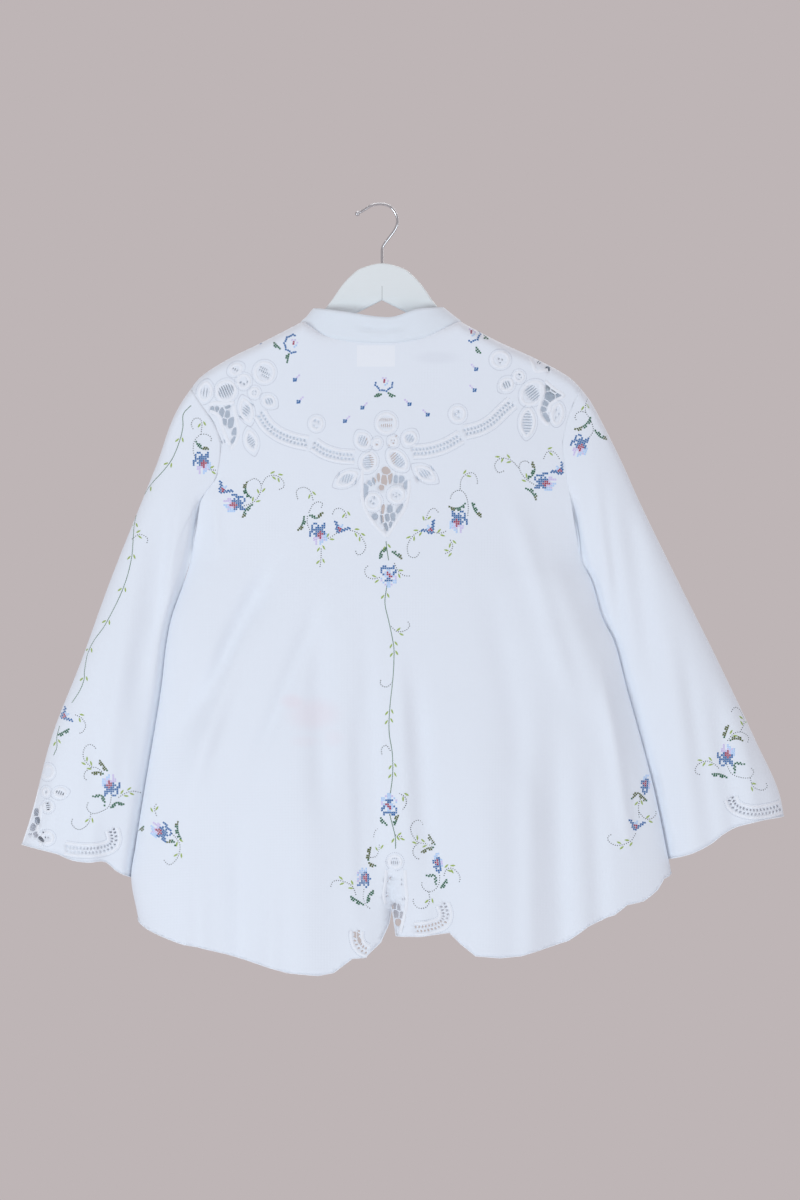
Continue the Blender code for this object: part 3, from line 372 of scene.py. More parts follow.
def edge_depth(side, drop):
    """How far the armhole's edge stands from the middle of the garment."""
    run = (drop - TIP_DROP[side]) / (UNDERARM[side] - TIP_DROP[side])
    if run >= 1:
        return 0.0
    return ARMHOLE_DEPTH * (1 - max(run, 0.0) ** ARMHOLE_POWER) ** ARMHOLE_CLOSING


def top_drop(x, neckline):
    """The upper edge of a body panel."""
    side = side_of(x)
    return shoulder[side](x) if abs(x) > NECK_HALF[side] else neckline(x)


def front_neckline(x):
    return neck_front(abs(x) * NECK_FRONT[-1].x / NECK_HALF[side_of(x)])


def neck_opening(x):
    """1 in the middle of the neck, and 0 where it meets the shoulder seams."""
    share = min(abs(x) / NECK_HALF[side_of(x)], 1.0)
    return sqrt(1 - share**3)


def body_depth(x, drop, full_depth, neckline, folds):
    """How far a body panel stands from the middle of the garment, before or behind."""
    fullness = (1 - across_of(x, drop) ** SIDE_FULLNESS) ** side_power(drop)
    edge = edge_depth(side_of(x), drop)
    below = max(drop - top_drop(x, neckline), 0.0)
    near_ridge = 1 - min(below / SHOULDER_ROUND, 1.0)
    ridge = 1 - (1 - sqrt(1 - near_ridge**2)) * (1 - neck_opening(x))
    lift = fold_height(folds, x, drop) * min(fullness * FOLD_FADE, 1.0)
    return (edge + (full_depth(drop) - edge) * fullness) * ridge + lift


def back_y(x, drop):
    return -body_depth(x, drop, back_depth, neck_back, BACK_FOLDS)


def front_y(x, drop):
    return body_depth(x, drop, front_depth, front_neckline, FRONT_FOLDS)


def ripple_of(x, drop, seed):
    """A slight unevenness of worn cloth, the same on each run."""
    return CREASE_WAVE * noise.noise(Vector((x / CREASE_WAVE_LENGTH, drop / CREASE_WAVE_LENGTH, seed)))


def open_cloth(x, drop, neckline):
    """1 in the open cloth, and 0 at the seams, where creases end."""
    return ease((1 - across_of(x, drop)) * SIDE_FADE) * ease((drop - top_drop(x, neckline)) / TOP_FADE)


def cloth_back_y(x, drop):
    """The back with its smaller creases."""
    creases = CREASE_DEPTH * fold_height(SOFT_CREASES, x, drop)
    return back_y(x, drop) - (creases + ripple_of(x, drop, 0.0)) * open_cloth(x, drop, neck_back)


def cloth_front_y(x, drop):
    return front_y(x, drop) + ripple_of(x, drop, 9.0) * open_cloth(x, drop, front_neckline)


def front_place(side, share, drop):
    """A place on a front, from its front edge to the side."""
    inner = side * centre_front(drop) + front_edge(drop)
    x = side * (inner + share * (half_width[side](drop) - inner))
    return place(x, cloth_front_y(x, drop), drop)


def part_way(table, down):
    """The drop part of the way down an edge."""
    return table[0].drop + (table[-1].drop - table[0].drop) * down


def sleeve_chord(side, round_share, down):
    """x and drop on the straight line from a sleeve's outer edge to its inner edge."""
    out_drop = part_way(SLEEVE_OUTER[side], down)
    in_drop = part_way(SLEEVE_INNER[side], down)
    x = sleeve_outer[side](out_drop) * (1 - round_share) + sleeve_inner[side](in_drop) * round_share
    return side * x, out_drop * (1 - round_share) + in_drop * round_share


def clearance(down):
    """How far the sleeve stays from the front that it hangs beside."""
    return BEHIND_FRONT * ease(down / BEHIND_FRONT_START)


def sleeve_depths(side, round_share, down):
    """The sleeve's middle, whose inner edge lies beyond the front panel, and half its depth there."""
    in_drop = part_way(SLEEVE_INNER[side], down)
    inner_y = front_y(side * sleeve_inner[side](in_drop), in_drop) + clearance(down) * INNER_EDGE_SPARE
    outer_y = CUFF_FORWARD * down
    middle = outer_y + (inner_y - outer_y) * round_share**INNER_PULL
    fullness = (1 - abs(2 * round_share - 1) ** SLEEVE_FULLNESS) ** SLEEVE_POWER
    return middle, (SLEEVE_DEPTH + (CUFF_DEPTH - SLEEVE_DEPTH) * down) * fullness


def sleeve_point(side, facing, round_share, down):
    """A place on a sleeve: round from the outer edge to the inner one, down from armhole to cuff."""
    folds = SLEEVE_BACK_FOLDS if facing < 0 else SLEEVE_FRONT_FOLDS
    seam_drop = TIP_DROP[side] + (UNDERARM[side] - TIP_DROP[side]) * round_share
    seam_x = side * half_width[side](seam_drop)
    seam_y = abs(back_y(seam_x, seam_drop) if facing < 0 else front_y(seam_x, seam_drop))
    chord = sleeve_chord(side, round_share, 0.0)
    x, drop = sleeve_chord(side, round_share, down)
    bend = max(1 - down / BOW_LENGTH, 0.0) ** 2
    x += (seam_x - chord[0]) * bend
    drop += (seam_drop - chord[1]) * bend + cuff_hang[side](round_share) * down**CUFF_HANG_POWER
    middle, depth = sleeve_depths(side, round_share, down)
    settle = max(1 - down / SETTLE_LENGTH, 0.0) ** 2
    edge = seam_y * settle
    rest = min(depth / SLEEVE_DEPTH, 1.0) * ease(down * CREASE_START)
    lift = fold_height(folds, x, drop) * min(depth / SLEEVE_DEPTH, 1.0)
    lift += (fold_height(SLEEVE_CREASES, x, drop) + ripple_of(x, drop, 4.0 + facing)) * rest
    nearest = (middle - depth) * (1 - settle) - edge - max(lift, 0.0)
    near_body = ease(1 - (abs(x) - half_width[side](drop)) / BEHIND_FRONT_REACH)
    near_body *= ease((drop - TUCK_START) / TUCK_LENGTH)
    push = near_body * max(front_y(x, drop) + clearance(down) - nearest, 0.0) if down > 0 else 0.0
    y = (middle + facing * (depth + lift)) * (1 - settle) + facing * edge + push
    return place(x, y, drop)


# Flat pieces of cloth and their way into space

U_SCALE = 400.0
SHOULDER_LEVEL = 200.0
SHOULDER_POINTS = 160
SHOULDER_ROWS = (0.4, 1.3, 2.6)
ROUND_SCALE = 260.0
DOWN_SCALE = 500.0
ROW_HEIGHT = 0.866
EDGE_CLEAR = 0.42
# A search for a flattened place: its longest run, its nudge, and the miss in millimetres that ends it
SEARCH_STEPS = 24
NUDGE = 0.5
NEAR_ENOUGH = 0.02


def back_to_space(u, v):
    """A place on the flattened back to its place in space."""
    x = sin(u / U_SCALE * pi / 2) * half_width[side_of(u)](v)
    return place(x, cloth_back_y(x, v), v)


def back_from_x(x, drop):
    """The flattened place of x and drop."""
    across = min(max(x / half_width[side_of(x)](drop), -1.0), 1.0)
    return asin(across) / (pi / 2) * U_SCALE, drop


def sleeve_to_space(side, u, v):
    """A place on the flattened sleeve to space: u runs once round, from the outer edge over the back."""
    turn = u / ROUND_SCALE
    facing = -1 if turn <= 1 else 1
    share = turn if turn <= 1 else 2 - turn
    return sleeve_point(side, facing, (1 - cos(pi * share)) / 2, v / DOWN_SCALE)


def sleeve_from_x(side, x, drop):
    """The flattened place on the sleeve's back that shows at x and drop, by small steps towards it."""
    u, v = ROUND_SCALE / 2, DOWN_SCALE * 0.8
    for _ in range(SEARCH_STEPS):
        here = sleeve_to_space(side, u, v)
        across = sleeve_to_space(side, u + NUDGE, v) - here
        below = sleeve_to_space(side, u, v + NUDGE) - here
        miss_x = x - here.x
        miss_z = -drop - here.z
        scale = across.x * below.z - below.x * across.z
        u += NUDGE * (miss_x * below.z - below.x * miss_z) / scale
        v += NUDGE * (across.x * miss_z - miss_x * across.z) / scale
        u = min(max(u, 1.0), ROUND_SCALE - 1.0)
        v = min(max(v, 1.0), DOWN_SCALE - NUDGE)
        if abs(miss_x) + abs(miss_z) < NEAR_ENOUGH:
            break
    return u, v


def resample(points, step):
    """Points along a line of points, about one step apart, its corners kept."""
    line = [points[0]]
    for a, b in zip(points, points[1:]):
        count = max(int(round(hypot(b[0] - a[0], b[1] - a[1]) / step)), 1)
        for n in range(1, count + 1):
            line.append((a[0] + (b[0] - a[0]) * n / count, a[1] + (b[1] - a[1]) * n / count))
    return line


def inside(point, polygon):
    """Whether a point lies inside a polygon."""
    x, y = point
    hit = False
    for (ax, ay), (bx, by) in zip(polygon, polygon[1:] + polygon[:1]):
        if (ay > y) != (by > y) and x < ax + (y - ay) / (by - ay) * (bx - ax):
            hit = not hit
    return hit


def boxed(rings):
    """Each ring of points after the bounds of its x and y."""
    boxes = []
    for ring in rings:
        xs, ys = zip(*ring)
        boxes.append((min(xs), max(xs), min(ys), max(ys), ring))
    return boxes


def in_any(point, boxes):
    """Whether a point lies inside one of some boxed rings."""
    x, y = point
    return any(a < x < b and c < y < d and inside(point, ring) for a, b, c, d, ring in boxes)


def lattice(outline, holes, step, clear):
    """Points of a triangular lattice inside an outline, clear of its edge and of the holes."""
    left, right, top, bottom, _ = boxed([outline])[0]
    near = np.vstack([np.array(ring) for ring in [outline] + holes])
    boxes = boxed(holes)
    found = []
    for row in range(int((bottom - top) / (step * ROW_HEIGHT)) + 1):
        y = top + (row + 0.5) * step * ROW_HEIGHT
        x = left + (0.25 if row % 2 else 0.75) * step
        close = near[np.abs(near[:, 1] - y) < clear]
        while x < right:
            away = (close[:, 0] - x) ** 2 + (close[:, 1] - y) ** 2
            if not (away < clear**2).any() and inside((x, y), outline) and not in_any((x, y), boxes):
                found.append((x, y))
            x += step
    return found


def triangulated(outline, holes, step, extra=()):
    """Vertices and triangles of a flat piece of cloth with holes in it."""
    points = []
    edges = []
    for ring in [outline] + holes:
        start = len(points)
        points += ring
        edges += [(start + i, start + (i + 1) % len(ring)) for i in range(len(ring))]
    points += lattice(outline, holes, step, step * EDGE_CLEAR) + list(extra)
    verts, _, faces, _, _, _ = delaunay_2d_cdt([Vector(p) for p in points], edges, [], 1, 1e-5)
    boxes = boxed(holes)
    kept = []
    for face in faces:
        middle = tuple(sum((verts[i] for i in face), Vector((0, 0))) / len(face))
        if inside(middle, outline) and not in_any(middle, boxes):
            kept.append(tuple(face))
    return [(v.x, v.y) for v in verts], kept


def grid_faces(columns, rows):
    """Faces of a grid that is listed column by column."""
    faces = []
    for i in range(columns - 1):
        for k in range(rows - 1):
            a = i * rows + k
            faces.append((a, a + 1, a + rows + 1, a + rows))
    return faces


# Mesh objects

SEAM_WELD = 0.02
CLOSED_WELD = 0.01

def build_mesh(name, verts, faces):
    """A mesh object from places in millimetres."""
    data = bpy.data.meshes.new(name)
    data.from_pydata([tuple(v * MM for v in vert) for vert in verts], [], faces)
    data.validate()
    item = bpy.data.objects.new(name, data)
    bpy.context.scene.collection.objects.link(item)
    return item


def edit_mesh(item, change):
    """Changes an object's mesh in its edit form."""
    mesh = bmesh.new()
    mesh.from_mesh(item.data)
    change(mesh)
    mesh.to_mesh(item.data)
    mesh.free()


def weld(item):
    """Joins points that meet."""

    def change(mesh):
        bmesh.ops.remove_doubles(mesh, verts=mesh.verts, dist=SEAM_WELD * MM)
        bmesh.ops.dissolve_degenerate(mesh, edges=mesh.edges, dist=SEAM_WELD * MM)

    edit_mesh(item, change)


def face_out(item):
    """Joins points that meet, and turns all faces of a closed piece outwards."""

    def change(mesh):
        bmesh.ops.remove_doubles(mesh, verts=mesh.verts, dist=CLOSED_WELD * MM)
        bmesh.ops.recalc_face_normals(mesh, faces=mesh.faces)

    edit_mesh(item, change)


def face_along(item, way_of, counts=lambda polygon: True):
    """Turns a sheet over where most of the faces that count look against their direction."""
    total = 0.0
    for polygon in item.data.polygons:
        if counts(polygon):
            total += polygon.normal.dot(way_of(polygon)) * polygon.area
    if total < 0:
        edit_mesh(item, lambda mesh: bmesh.ops.reverse_faces(mesh, faces=mesh.faces))


def smooth(item):
    for polygon in item.data.polygons:
        polygon.use_smooth = True


def thicken(item, thickness, offset=-1.0):
    """Gives a sheet its thickness, inwards from the modelled side."""
    modifier = item.modifiers.new("cloth thickness", "SOLIDIFY")
    modifier.thickness = thickness * MM
    modifier.offset = offset
    modifier.use_even_offset = False
    smooth(item)


# Back, fronts, sleeves and collar

HEM_LEVEL = 850.0
HEM_CROWD = 1.12
NAMES = {-1: "left", 1: "right"}
FRONT_GRID = (44, 96)
# The sleeve's back is what lies behind this share of how far the cuff stands forward
SLEEVE_BACK_SHARE = 0.3


def top_of(u):
    """The upper edge of the back at a flattened place."""
    return top_drop(sin(u / U_SCALE * pi / 2) * half_width[side_of(u)](SHOULDER_LEVEL), neck_back)


def flat_hem():
    """The back's hem on the flattened cloth, from left to right."""
    inner = [back_from_x(p.x, p.drop) for p in HEM_LINE_BACK[1:-1]]
    return [(-U_SCALE, HEM_LINE_BACK[0].drop)] + inner + [(U_SCALE, HEM_LINE_BACK[-1].drop)]


def spread(count):
    """Flattened places from side to side of the back."""
    return [-U_SCALE + 2 * U_SCALE * n / count for n in range(count + 1)]


def back_outline(step):
    """The back's edge on the flattened cloth: neck and shoulders, right side, hem and left side."""
    top = [(u, top_of(u)) for u in spread(int(2 * U_SCALE / step))]
    top[0] = (-U_SCALE, TIP_DROP[-1])
    top[-1] = (U_SCALE, TIP_DROP[1])
    hem = flat_hem()[::-1]
    right = resample([top[-1], hem[0]], step)
    left = resample([hem[-1], top[0]], step)
    return top[:-1] + right[:-1] + resample(hem, step)[:-1] + left[:-1]


def make_back(holes, step):
    """The back with its holes, and rows of points where the cloth turns over at neck and shoulders."""
    flat_holes = [[back_from_x(x, drop) for x, drop in hole] for hole in holes]
    turning = [(u, top_of(u) + below) for u in spread(SHOULDER_POINTS)[1:-1] for below in SHOULDER_ROWS]
    verts, faces = triangulated(back_outline(step), flat_holes, step, turning)
    item = build_mesh("back_cloth", [back_to_space(u, v) for u, v in verts], faces)
    face_along(item, lambda polygon: Vector((0, -1, 0)))
    return item


def front_hem_drop(side, share):
    """A front's hem, part of the way from its front edge to the side."""
    if share >= 1:
        return HEM_FRONT[0 if side < 0 else -1].drop
    start = FRONT_EDGE[0].x
    return hem_front(side * (start + share * (half_width[side](HEM_LEVEL) - start)))


def make_front(side):
    """One front as a plain sheet, from its front edge to the side."""
    columns, rows = FRONT_GRID
    verts = []
    start = FRONT_EDGE[0].x
    for i in range(columns + 1):
        share = sin(i / columns * pi / 2)
        top = top_drop(side * (start + share * (half_width[side](0.0) - start)), front_neckline)
        if i == columns:
            top = TIP_DROP[side]
        hem = front_hem_drop(side, share)
        for k in range(rows + 1):
            verts.append(front_place(side, share, top + (hem - top) * (k / rows) ** HEM_CROWD))
    item = build_mesh(f"front_{NAMES[side]}_cloth", verts, grid_faces(columns + 1, rows + 1))
    face_along(item, lambda polygon: Vector((0, 1, 0)))
    return item


def make_sleeve(side, holes, step):
    """A sleeve as a tube, its two ends open."""
    end = 2 * ROUND_SCALE
    corners = [(0.0, 0.0), (end, 0.0), (end, DOWN_SCALE), (0.0, DOWN_SCALE), (0.0, 0.0)]
    flat_holes = [[sleeve_from_x(side, x, drop) for x, drop in hole] for hole in holes]
    verts, faces = triangulated(resample(corners, step)[:-1], flat_holes, step)
    item = build_mesh(f"sleeve_{NAMES[side]}_cloth", [sleeve_to_space(side, u, v) for u, v in verts], faces)
    weld(item)
    face_along(
        item,
        lambda polygon: Vector((0, -1, 0)),
        lambda polygon: polygon.center.y < CUFF_FORWARD * MM * SLEEVE_BACK_SHARE,
    )
    return item


COLLAR_FRONT_COLUMNS = 14
COLLAR_BACK_COLUMNS = 60
COLLAR_BULGE = 0.6
# The collar's foot laps over the body's top edge by this much, and stands this far out there
COLLAR_LAP = 0.9
COLLAR_LAP_OUT = 0.45
# Beside the neck the foot spreads on the shoulder, which falls away by this share of its spread
COLLAR_FLARE = 4.0
COLLAR_SLOPE = 0.5
COLLAR_RIPPLE = 1.3
# How long its ripples are to the right, down and to the front
RIPPLE_LENGTHS = (17.0, 26.0, 40.0)
# The bulge starts this share above the foot, and leans out to the back by this much more than to the sides
BULGE_START = 0.06
BULGE_BACK = 1.6
COLLAR_ROWS = 8
# Small wrinkles in the back of the collar, each a short curve that sags in its middle: where its
# middle is, its half-length, how high on the stand, how far the ends rise, half-width, depth
Crease = namedtuple("Crease", "x reach share sag width rise")
COLLAR_CREASES = rows_of(Crease, [
    (-2, 30, 0.44, 0.16, 0.07, -2.4), (-2, 30, 0.3, 0.16, 0.09, 1.8), (12, 16, 0.66, -0.2, 0.07, -0.9),
    (-62, 18, 0.5, 0.3, 0.1, -0.8), (58, 22, 0.4, -0.4, 0.09, -0.8),
])


def front_collar_column(side, share):
    """Foot and top of the collar over the front neckline, from the front end to the shoulder."""
    start = FRONT_EDGE[0].x
    x = side * (start + (NECK_HALF[side] - start) * share)
    base = place(x, front_y(x, front_neckline(x)), front_neckline(x))
    stand = COLLAR_STAND + (COLLAR_SIDE_STAND - COLLAR_STAND) * ease(share)
    slant = collar_slant(share)
    top_x = base.x - side * stand * slant
    return base, place(top_x, base.y * COLLAR_LEAN, -base.z - stand * sqrt(1 - slant**2))


def back_collar_column(share):
    """Foot and top of the collar over the back neckline, from left to right."""
    x = -NECK_HALF[-1] + (NECK_HALF[-1] + NECK_HALF[1]) * share
    base = place(x, back_y(x, neck_back(x)), neck_back(x))
    side = side_of(base.x)
    top_x = abs(COLLAR_TOP[0 if side < 0 else -1].x) * base.x / NECK_HALF[side]
    return base, place(top_x, base.y * COLLAR_LEAN, collar_top(top_x))


def collar_wrinkle(point, share):
    """How far small wrinkles lift the collar."""
    right, down, forward = RIPPLE_LENGTHS
    lift = COLLAR_RIPPLE * noise.noise(Vector((point.x / right, point.z / down, point.y / forward)))
    for crease in COLLAR_CREASES if point.y < 0 else ():
        along = (point.x - crease.x) / crease.reach
        height = crease.share + crease.sag * along * along
        lift += crease.rise * exp(-(((share - height) / crease.width) ** 2) - along**4)
    return lift


def make_collar():
    """The stand, from its left front end round the back to the right one."""
    shares = [q / COLLAR_FRONT_COLUMNS for q in range(COLLAR_FRONT_COLUMNS)]
    columns = [front_collar_column(-1, share) for share in shares]
    for n in range(COLLAR_BACK_COLUMNS + 1):
        columns.append(back_collar_column((1 - cos(pi * n / COLLAR_BACK_COLUMNS)) / 2))
    columns += [front_collar_column(1, share) for share in reversed(shares)]
    verts = []
    for base, top in columns:
        for k in range(COLLAR_ROWS + 1):
            share = k / COLLAR_ROWS
            point = base.lerp(top, share)
            bulge = (COLLAR_BULGE + collar_wrinkle(point, share)) * sin(pi * min(share + BULGE_START, 1.0))
            flare = COLLAR_FLARE * (base.x / NECK_HALF[-1]) ** 2 * (1 - share) ** 6
            if k == 0:
                point.z -= COLLAR_LAP + COLLAR_SLOPE * flare
                bulge = COLLAR_LAP_OUT
            way = Vector((point.x, point.y * BULGE_BACK, 0)).normalized()
            verts.append(point + way * (bulge + flare))
    item = build_mesh("collar_cloth", verts, grid_faces(len(columns), COLLAR_ROWS + 1))
    face_along(item, lambda polygon: Vector((polygon.center.x, polygon.center.y, 0)))
    return item


# Gaps of the lace


def slit_gaps(stack):
    """The slits of one stack as single gaps, shorter towards both ends of the petal."""
    lean = radians(stack.lean)
    gaps = []
    for n in range(stack.count):
        offset = (n - (stack.count - 1) / 2) * stack.pitch
        taper = 1 - SLIT_TAPER * (2 * offset / (stack.count * stack.pitch)) ** 2
        x = stack.x + offset * cos(lean)
        drop = stack.drop + offset * sin(lean)
        gaps.append(Gap(x, drop, stack.length * taper, stack.width, stack.lean))
    return gaps


NET_SIDES = 12
NET_THREAD = 1.15
NET_GROWTH = 1.42
NET_REACH = 16.0
SLIT_SIDES = 8
# The needle-woven bars are closer than in the CAD model, which keeps only the larger gaps
SLIT_CROWD = 1.35
SLIT_REACH = 1.24
SLIT_NARROW = 0.72
SLIT_SPARE = 0.3
SLIT_TAPER = 0.45
FINE_SIDES = 6


def gap_polygon(gap, sides, growth=1.0, power=0.8):
    """A gap's outline with rounded ends, its long way leaning to the right from upright."""
    lean = radians(gap.lean)
    points = []
    for n in range(sides):
        turn = 2 * pi * (n + 0.5) / sides
        long_way = gap.length * growth / 2 * copysign(abs(cos(turn)) ** power, cos(turn))
        wide_way = gap.width * growth / 2 * copysign(abs(sin(turn)) ** power, sin(turn))
        x = gap.x + long_way * sin(lean) + wide_way * cos(lean)
        drop = gap.drop - long_way * cos(lean) + wide_way * sin(lean)
        points.append((x, drop))
    return points


def clipped(polygon, point, way):
    """The part of a convex polygon that lies before a line through a point, across a direction."""
    kept = []
    for a, b in zip(polygon, polygon[1:] + polygon[:1]):
        da = (a[0] - point[0]) * way[0] + (a[1] - point[1]) * way[1]
        db = (b[0] - point[0]) * way[0] + (b[1] - point[1]) * way[1]
        if da <= 0:
            kept.append(a)
        if (da < 0) != (db < 0) and da != db:
            share = da / (da - db)
            kept.append((a[0] + (b[0] - a[0]) * share, a[1] + (b[1] - a[1]) * share))
    return kept


def net_cells(gaps):
    """The gaps of a needle-made net: each grows until thin threads part it from its neighbours."""
    cells = []
    for gap in gaps:
        cell = gap_polygon(gap, NET_SIDES, NET_GROWTH)
        for other in gaps:
            away = hypot(other.x - gap.x, other.drop - gap.drop)
            if other is gap or away > NET_REACH:
                continue
            way = ((other.x - gap.x) / away, (other.drop - gap.drop) / away)
            own = gap.length + gap.width
            share = own / (own + other.length + other.width)
            reach = away * share - NET_THREAD / 2
            cell = clipped(cell, (gap.x + way[0] * reach, gap.drop + way[1] * reach), way)
        cells.append(cell)
    return cells


def back_holes():
    """All gaps in the back, as outlines in x and drop."""
    holes = net_cells(BACK_GAPS)
    for stack in BACK_SLITS:
        count = int(round(stack.count * SLIT_CROWD))
        closer = stack._replace(
            count=count,
            pitch=stack.pitch * (stack.count - SLIT_SPARE) / (count - SLIT_SPARE),
            length=stack.length * SLIT_REACH,
            width=stack.width * SLIT_NARROW,
        )
        holes += [gap_polygon(gap, SLIT_SIDES) for gap in slit_gaps(closer)]
    return holes + fine_holes(BRAIDS_BACK, FINE_SLITS, FINE_GAPS)


def cuff_holes(side):
    if side > 0:
        return fine_holes(BRAIDS_RIGHT_CUFF, [], [])
    return net_cells(CUFF_GAPS) + fine_holes(BRAIDS_LEFT_CUFF, CUFF_SLITS, CUFF_FINE_GAPS)


# Gaps that are finer than the CAD model's, in millimetres
FINE_SLITS = rows_of(Slits, [
    (4.8, 259.4, 7, 2.35, 5, 1.2, 0), (5.4, 266.4, 6, 2.35, 5, 1.2, 0),
    (-141.6, 197.8, 4, 2.5, 3.6, 1.1, 28), (-140.9, 202.3, 6, 2.5, 3.8, 1.2, 28),
    (-139.9, 207.4, 4, 2.5, 3.6, 1.1, 28), (15.1, 783.4, 5, 2.3, 2.6, 0.9, 0),
    (15.1, 788.4, 6, 2.3, 4.6, 1.1, 0), (27, 831, 3, 2.4, 4.4, 1, -20), (-212, 226, 4, 3.6, 12, 1, 8),
    (-176, 198.8, 3, 2.8, 4, 0.9, 30), (-190.8, 285, 2, 3.4, 5.6, 1.5, -20),
    (188.6, 190, 2, 2.6, 5, 0.9, 30), (207.6, 193.8, 2, 2.6, 4, 0.9, -30),
])
FINE_GAPS = rows_of(Gap, [
    (-5.9, 289.7, 3.2, 3.6, 0), (-3.8, 285.6, 2.4, 1.6, -30), (-9.4, 290.6, 2.6, 1.6, 40),
    (9.4, 289.4, 3.6, 2.8, 40), (13.7, 288.4, 3.8, 2.6, -20), (11.5, 284, 2.4, 1.2, 20),
    (17, 279.4, 3.6, 1.4, 15), (15, 284, 2.2, 1.2, 10), (-9, 352.8, 4.4, 1.4, 12),
    (-13.2, 357.4, 4.6, 1.3, 20), (-10, 359.8, 3, 2.4, 0), (17.2, 347.6, 2.6, 1.2, 10),
    (21.1, 349.4, 3, 1.2, -40), (13.7, 349.4, 2.4, 1.2, 30), (17.2, 351.6, 2.6, 1.4, 0),
    (-169.6, 214.6, 3.4, 2.2, 50), (-165.4, 216.4, 2.6, 2, -30), (-161.5, 208.6, 3.2, 1.2, 30),
    (-161.3, 213.8, 2.6, 1.4, 20), (-154.8, 224.6, 2.2, 1.2, 40), (-151.2, 225, 2.2, 1.2, -30),
    (-155.2, 228.8, 2.4, 1.4, 20), (-151, 229.4, 2.4, 1.2, -60), (140.2, 186.4, 2.6, 1, 30),
    (144, 187.4, 2.6, 1, -20), (141.6, 191, 2.4, 1, 60), (160.6, 204, 2.6, 1.4, -60),
    (164.8, 204.8, 3, 2, -60), (168, 208.8, 3.6, 1.8, -70), (163.8, 211.6, 3, 2.2, 40),
    (209.4, 247.4, 3, 1.2, 10), (212.4, 252, 3.4, 1.2, 0), (208.8, 256.4, 3, 1.1, 10),
    (-80.2, 260.4, 3.4, 2.2, 20), (-76, 262, 3.2, 1.4, 10), (-81.6, 266.6, 2.6, 1.2, 30),
    (-78, 269.6, 3, 1.2, 10), (88, 253, 3.4, 2, 30), (91.8, 250, 3.4, 2, 20), (92, 256.4, 2.6, 1.4, 10),
    (95.2, 258.2, 3, 1.6, 20), (4.4, 825, 5.4, 1.3, 85), (5.4, 828.8, 5.6, 1.2, 75), (6.4, 812, 4.6, 1, 40),
    (10, 807, 4, 1, 30), (23.4, 808.6, 2.6, 1.2, 0), (23.6, 813.8, 2.8, 1.4, 0),
])
# Braid with two rows of small gaps: places in photo pixels, ends left plain
BRAID_PITCH = 4.3
BRAID_ROW = 2.5
BRAID_GAP_LENGTH = 3.9
BRAID_GAP_WIDTH = 2.3
BRAID_SLANT = 22
BRAID_STAGGER = 0.25
# How uneven the braid's gaps are: share of their length, and degrees
BRAID_LEAST = 0.88
BRAID_CHANGE = 0.14
BRAID_TURN = 8
BRAIDS_BACK = [
    [(260, 414), (268, 426), (280, 435), (294, 440.5), (308, 443.5)],
    [(314, 445), (324, 451.5), (338, 456), (355, 457.5)],
    [(413, 452), (428, 451), (445, 446), (461, 437)],
    [(465, 432.5), (480, 428.5), (492, 421.5), (503, 411), (512.5, 402.5)],
    [(357.2, 928.5), (357, 935), (359, 941.5), (363.5, 946.5), (369, 948.6)],
    [(442.3, 902), (445.3, 912), (441.5, 920.6), (427.5, 925.3), (414, 926.6)],
]
BRAIDS_LEFT_CUFF = [
    [(111.6, 830), (113.8, 838.6), (111, 845.6), (100.5, 849.6), (81.3, 850.6), (64.7, 848.4)],
]
BRAIDS_RIGHT_CUFF = [
    [(731.2, 798.5), (734.6, 806), (743, 810.6), (755, 812.4), (770, 811), (783, 808)],
]
CUFF_SLITS = rows_of(Slits, [
    (-386.8, 706.8, 4, 2.7, 5.2, 1.3, 20), (-401.6, 723.4, 4, 2.5, 6, 1.3, 82),
    (-404.4, 706.4, 3, 2.6, 3.6, 1.1, 10),
])
CUFF_FINE_GAPS = rows_of(Gap, [
    (-404.6, 760.6, 2.4, 1.8, 0), (-401, 760.8, 2.2, 1.6, 0), (-424, 757.6, 5.4, 2.6, 88),
    (-407.4, 754.6, 3.4, 2, -30),
])


def braid_gaps(points):
    """The gaps of one braid, two rows set half a step apart."""
    line = photo_curve(points, BRAID_PITCH)
    gaps = []
    for i in range(len(line) - 1):
        across = sideways(line, i)
        along = -crosswise(across)
        lean = atan2(along.y, along.x) * 180 / pi
        for row in (-1, 1):
            ahead = BRAID_STAGGER * row + BRAID_STAGGER
            middle = line[i] + across * row * BRAID_ROW + along * ahead * BRAID_PITCH
            change = uneven(i * 1.7 + row)
            length = BRAID_GAP_LENGTH * (BRAID_LEAST + BRAID_CHANGE * change)
            turn = lean + BRAID_SLANT * row + BRAID_TURN * change
            gaps.append(Gap(middle.x, middle.y, length, BRAID_GAP_WIDTH, turn))
    return gaps


def fine_holes(braids, slits, gaps):
    """Outlines of the gaps in braids, in stacks of slits and of single gaps."""
    fine = [gap for braid in braids for gap in braid_gaps(braid)]
    fine += [gap for stack in slits for gap in slit_gaps(stack)]
    return [gap_polygon(gap, FINE_SIDES) for gap in fine + gaps]


# Places of sewn details, read off the photo in pixels


def from_photo(px, py):
    """x and drop in millimetres of a place in the photo."""
    return (px - PHOTO_MIDDLE) * MM_PER_PIXEL, (py - PHOTO_TOP) * MM_PER_PIXEL


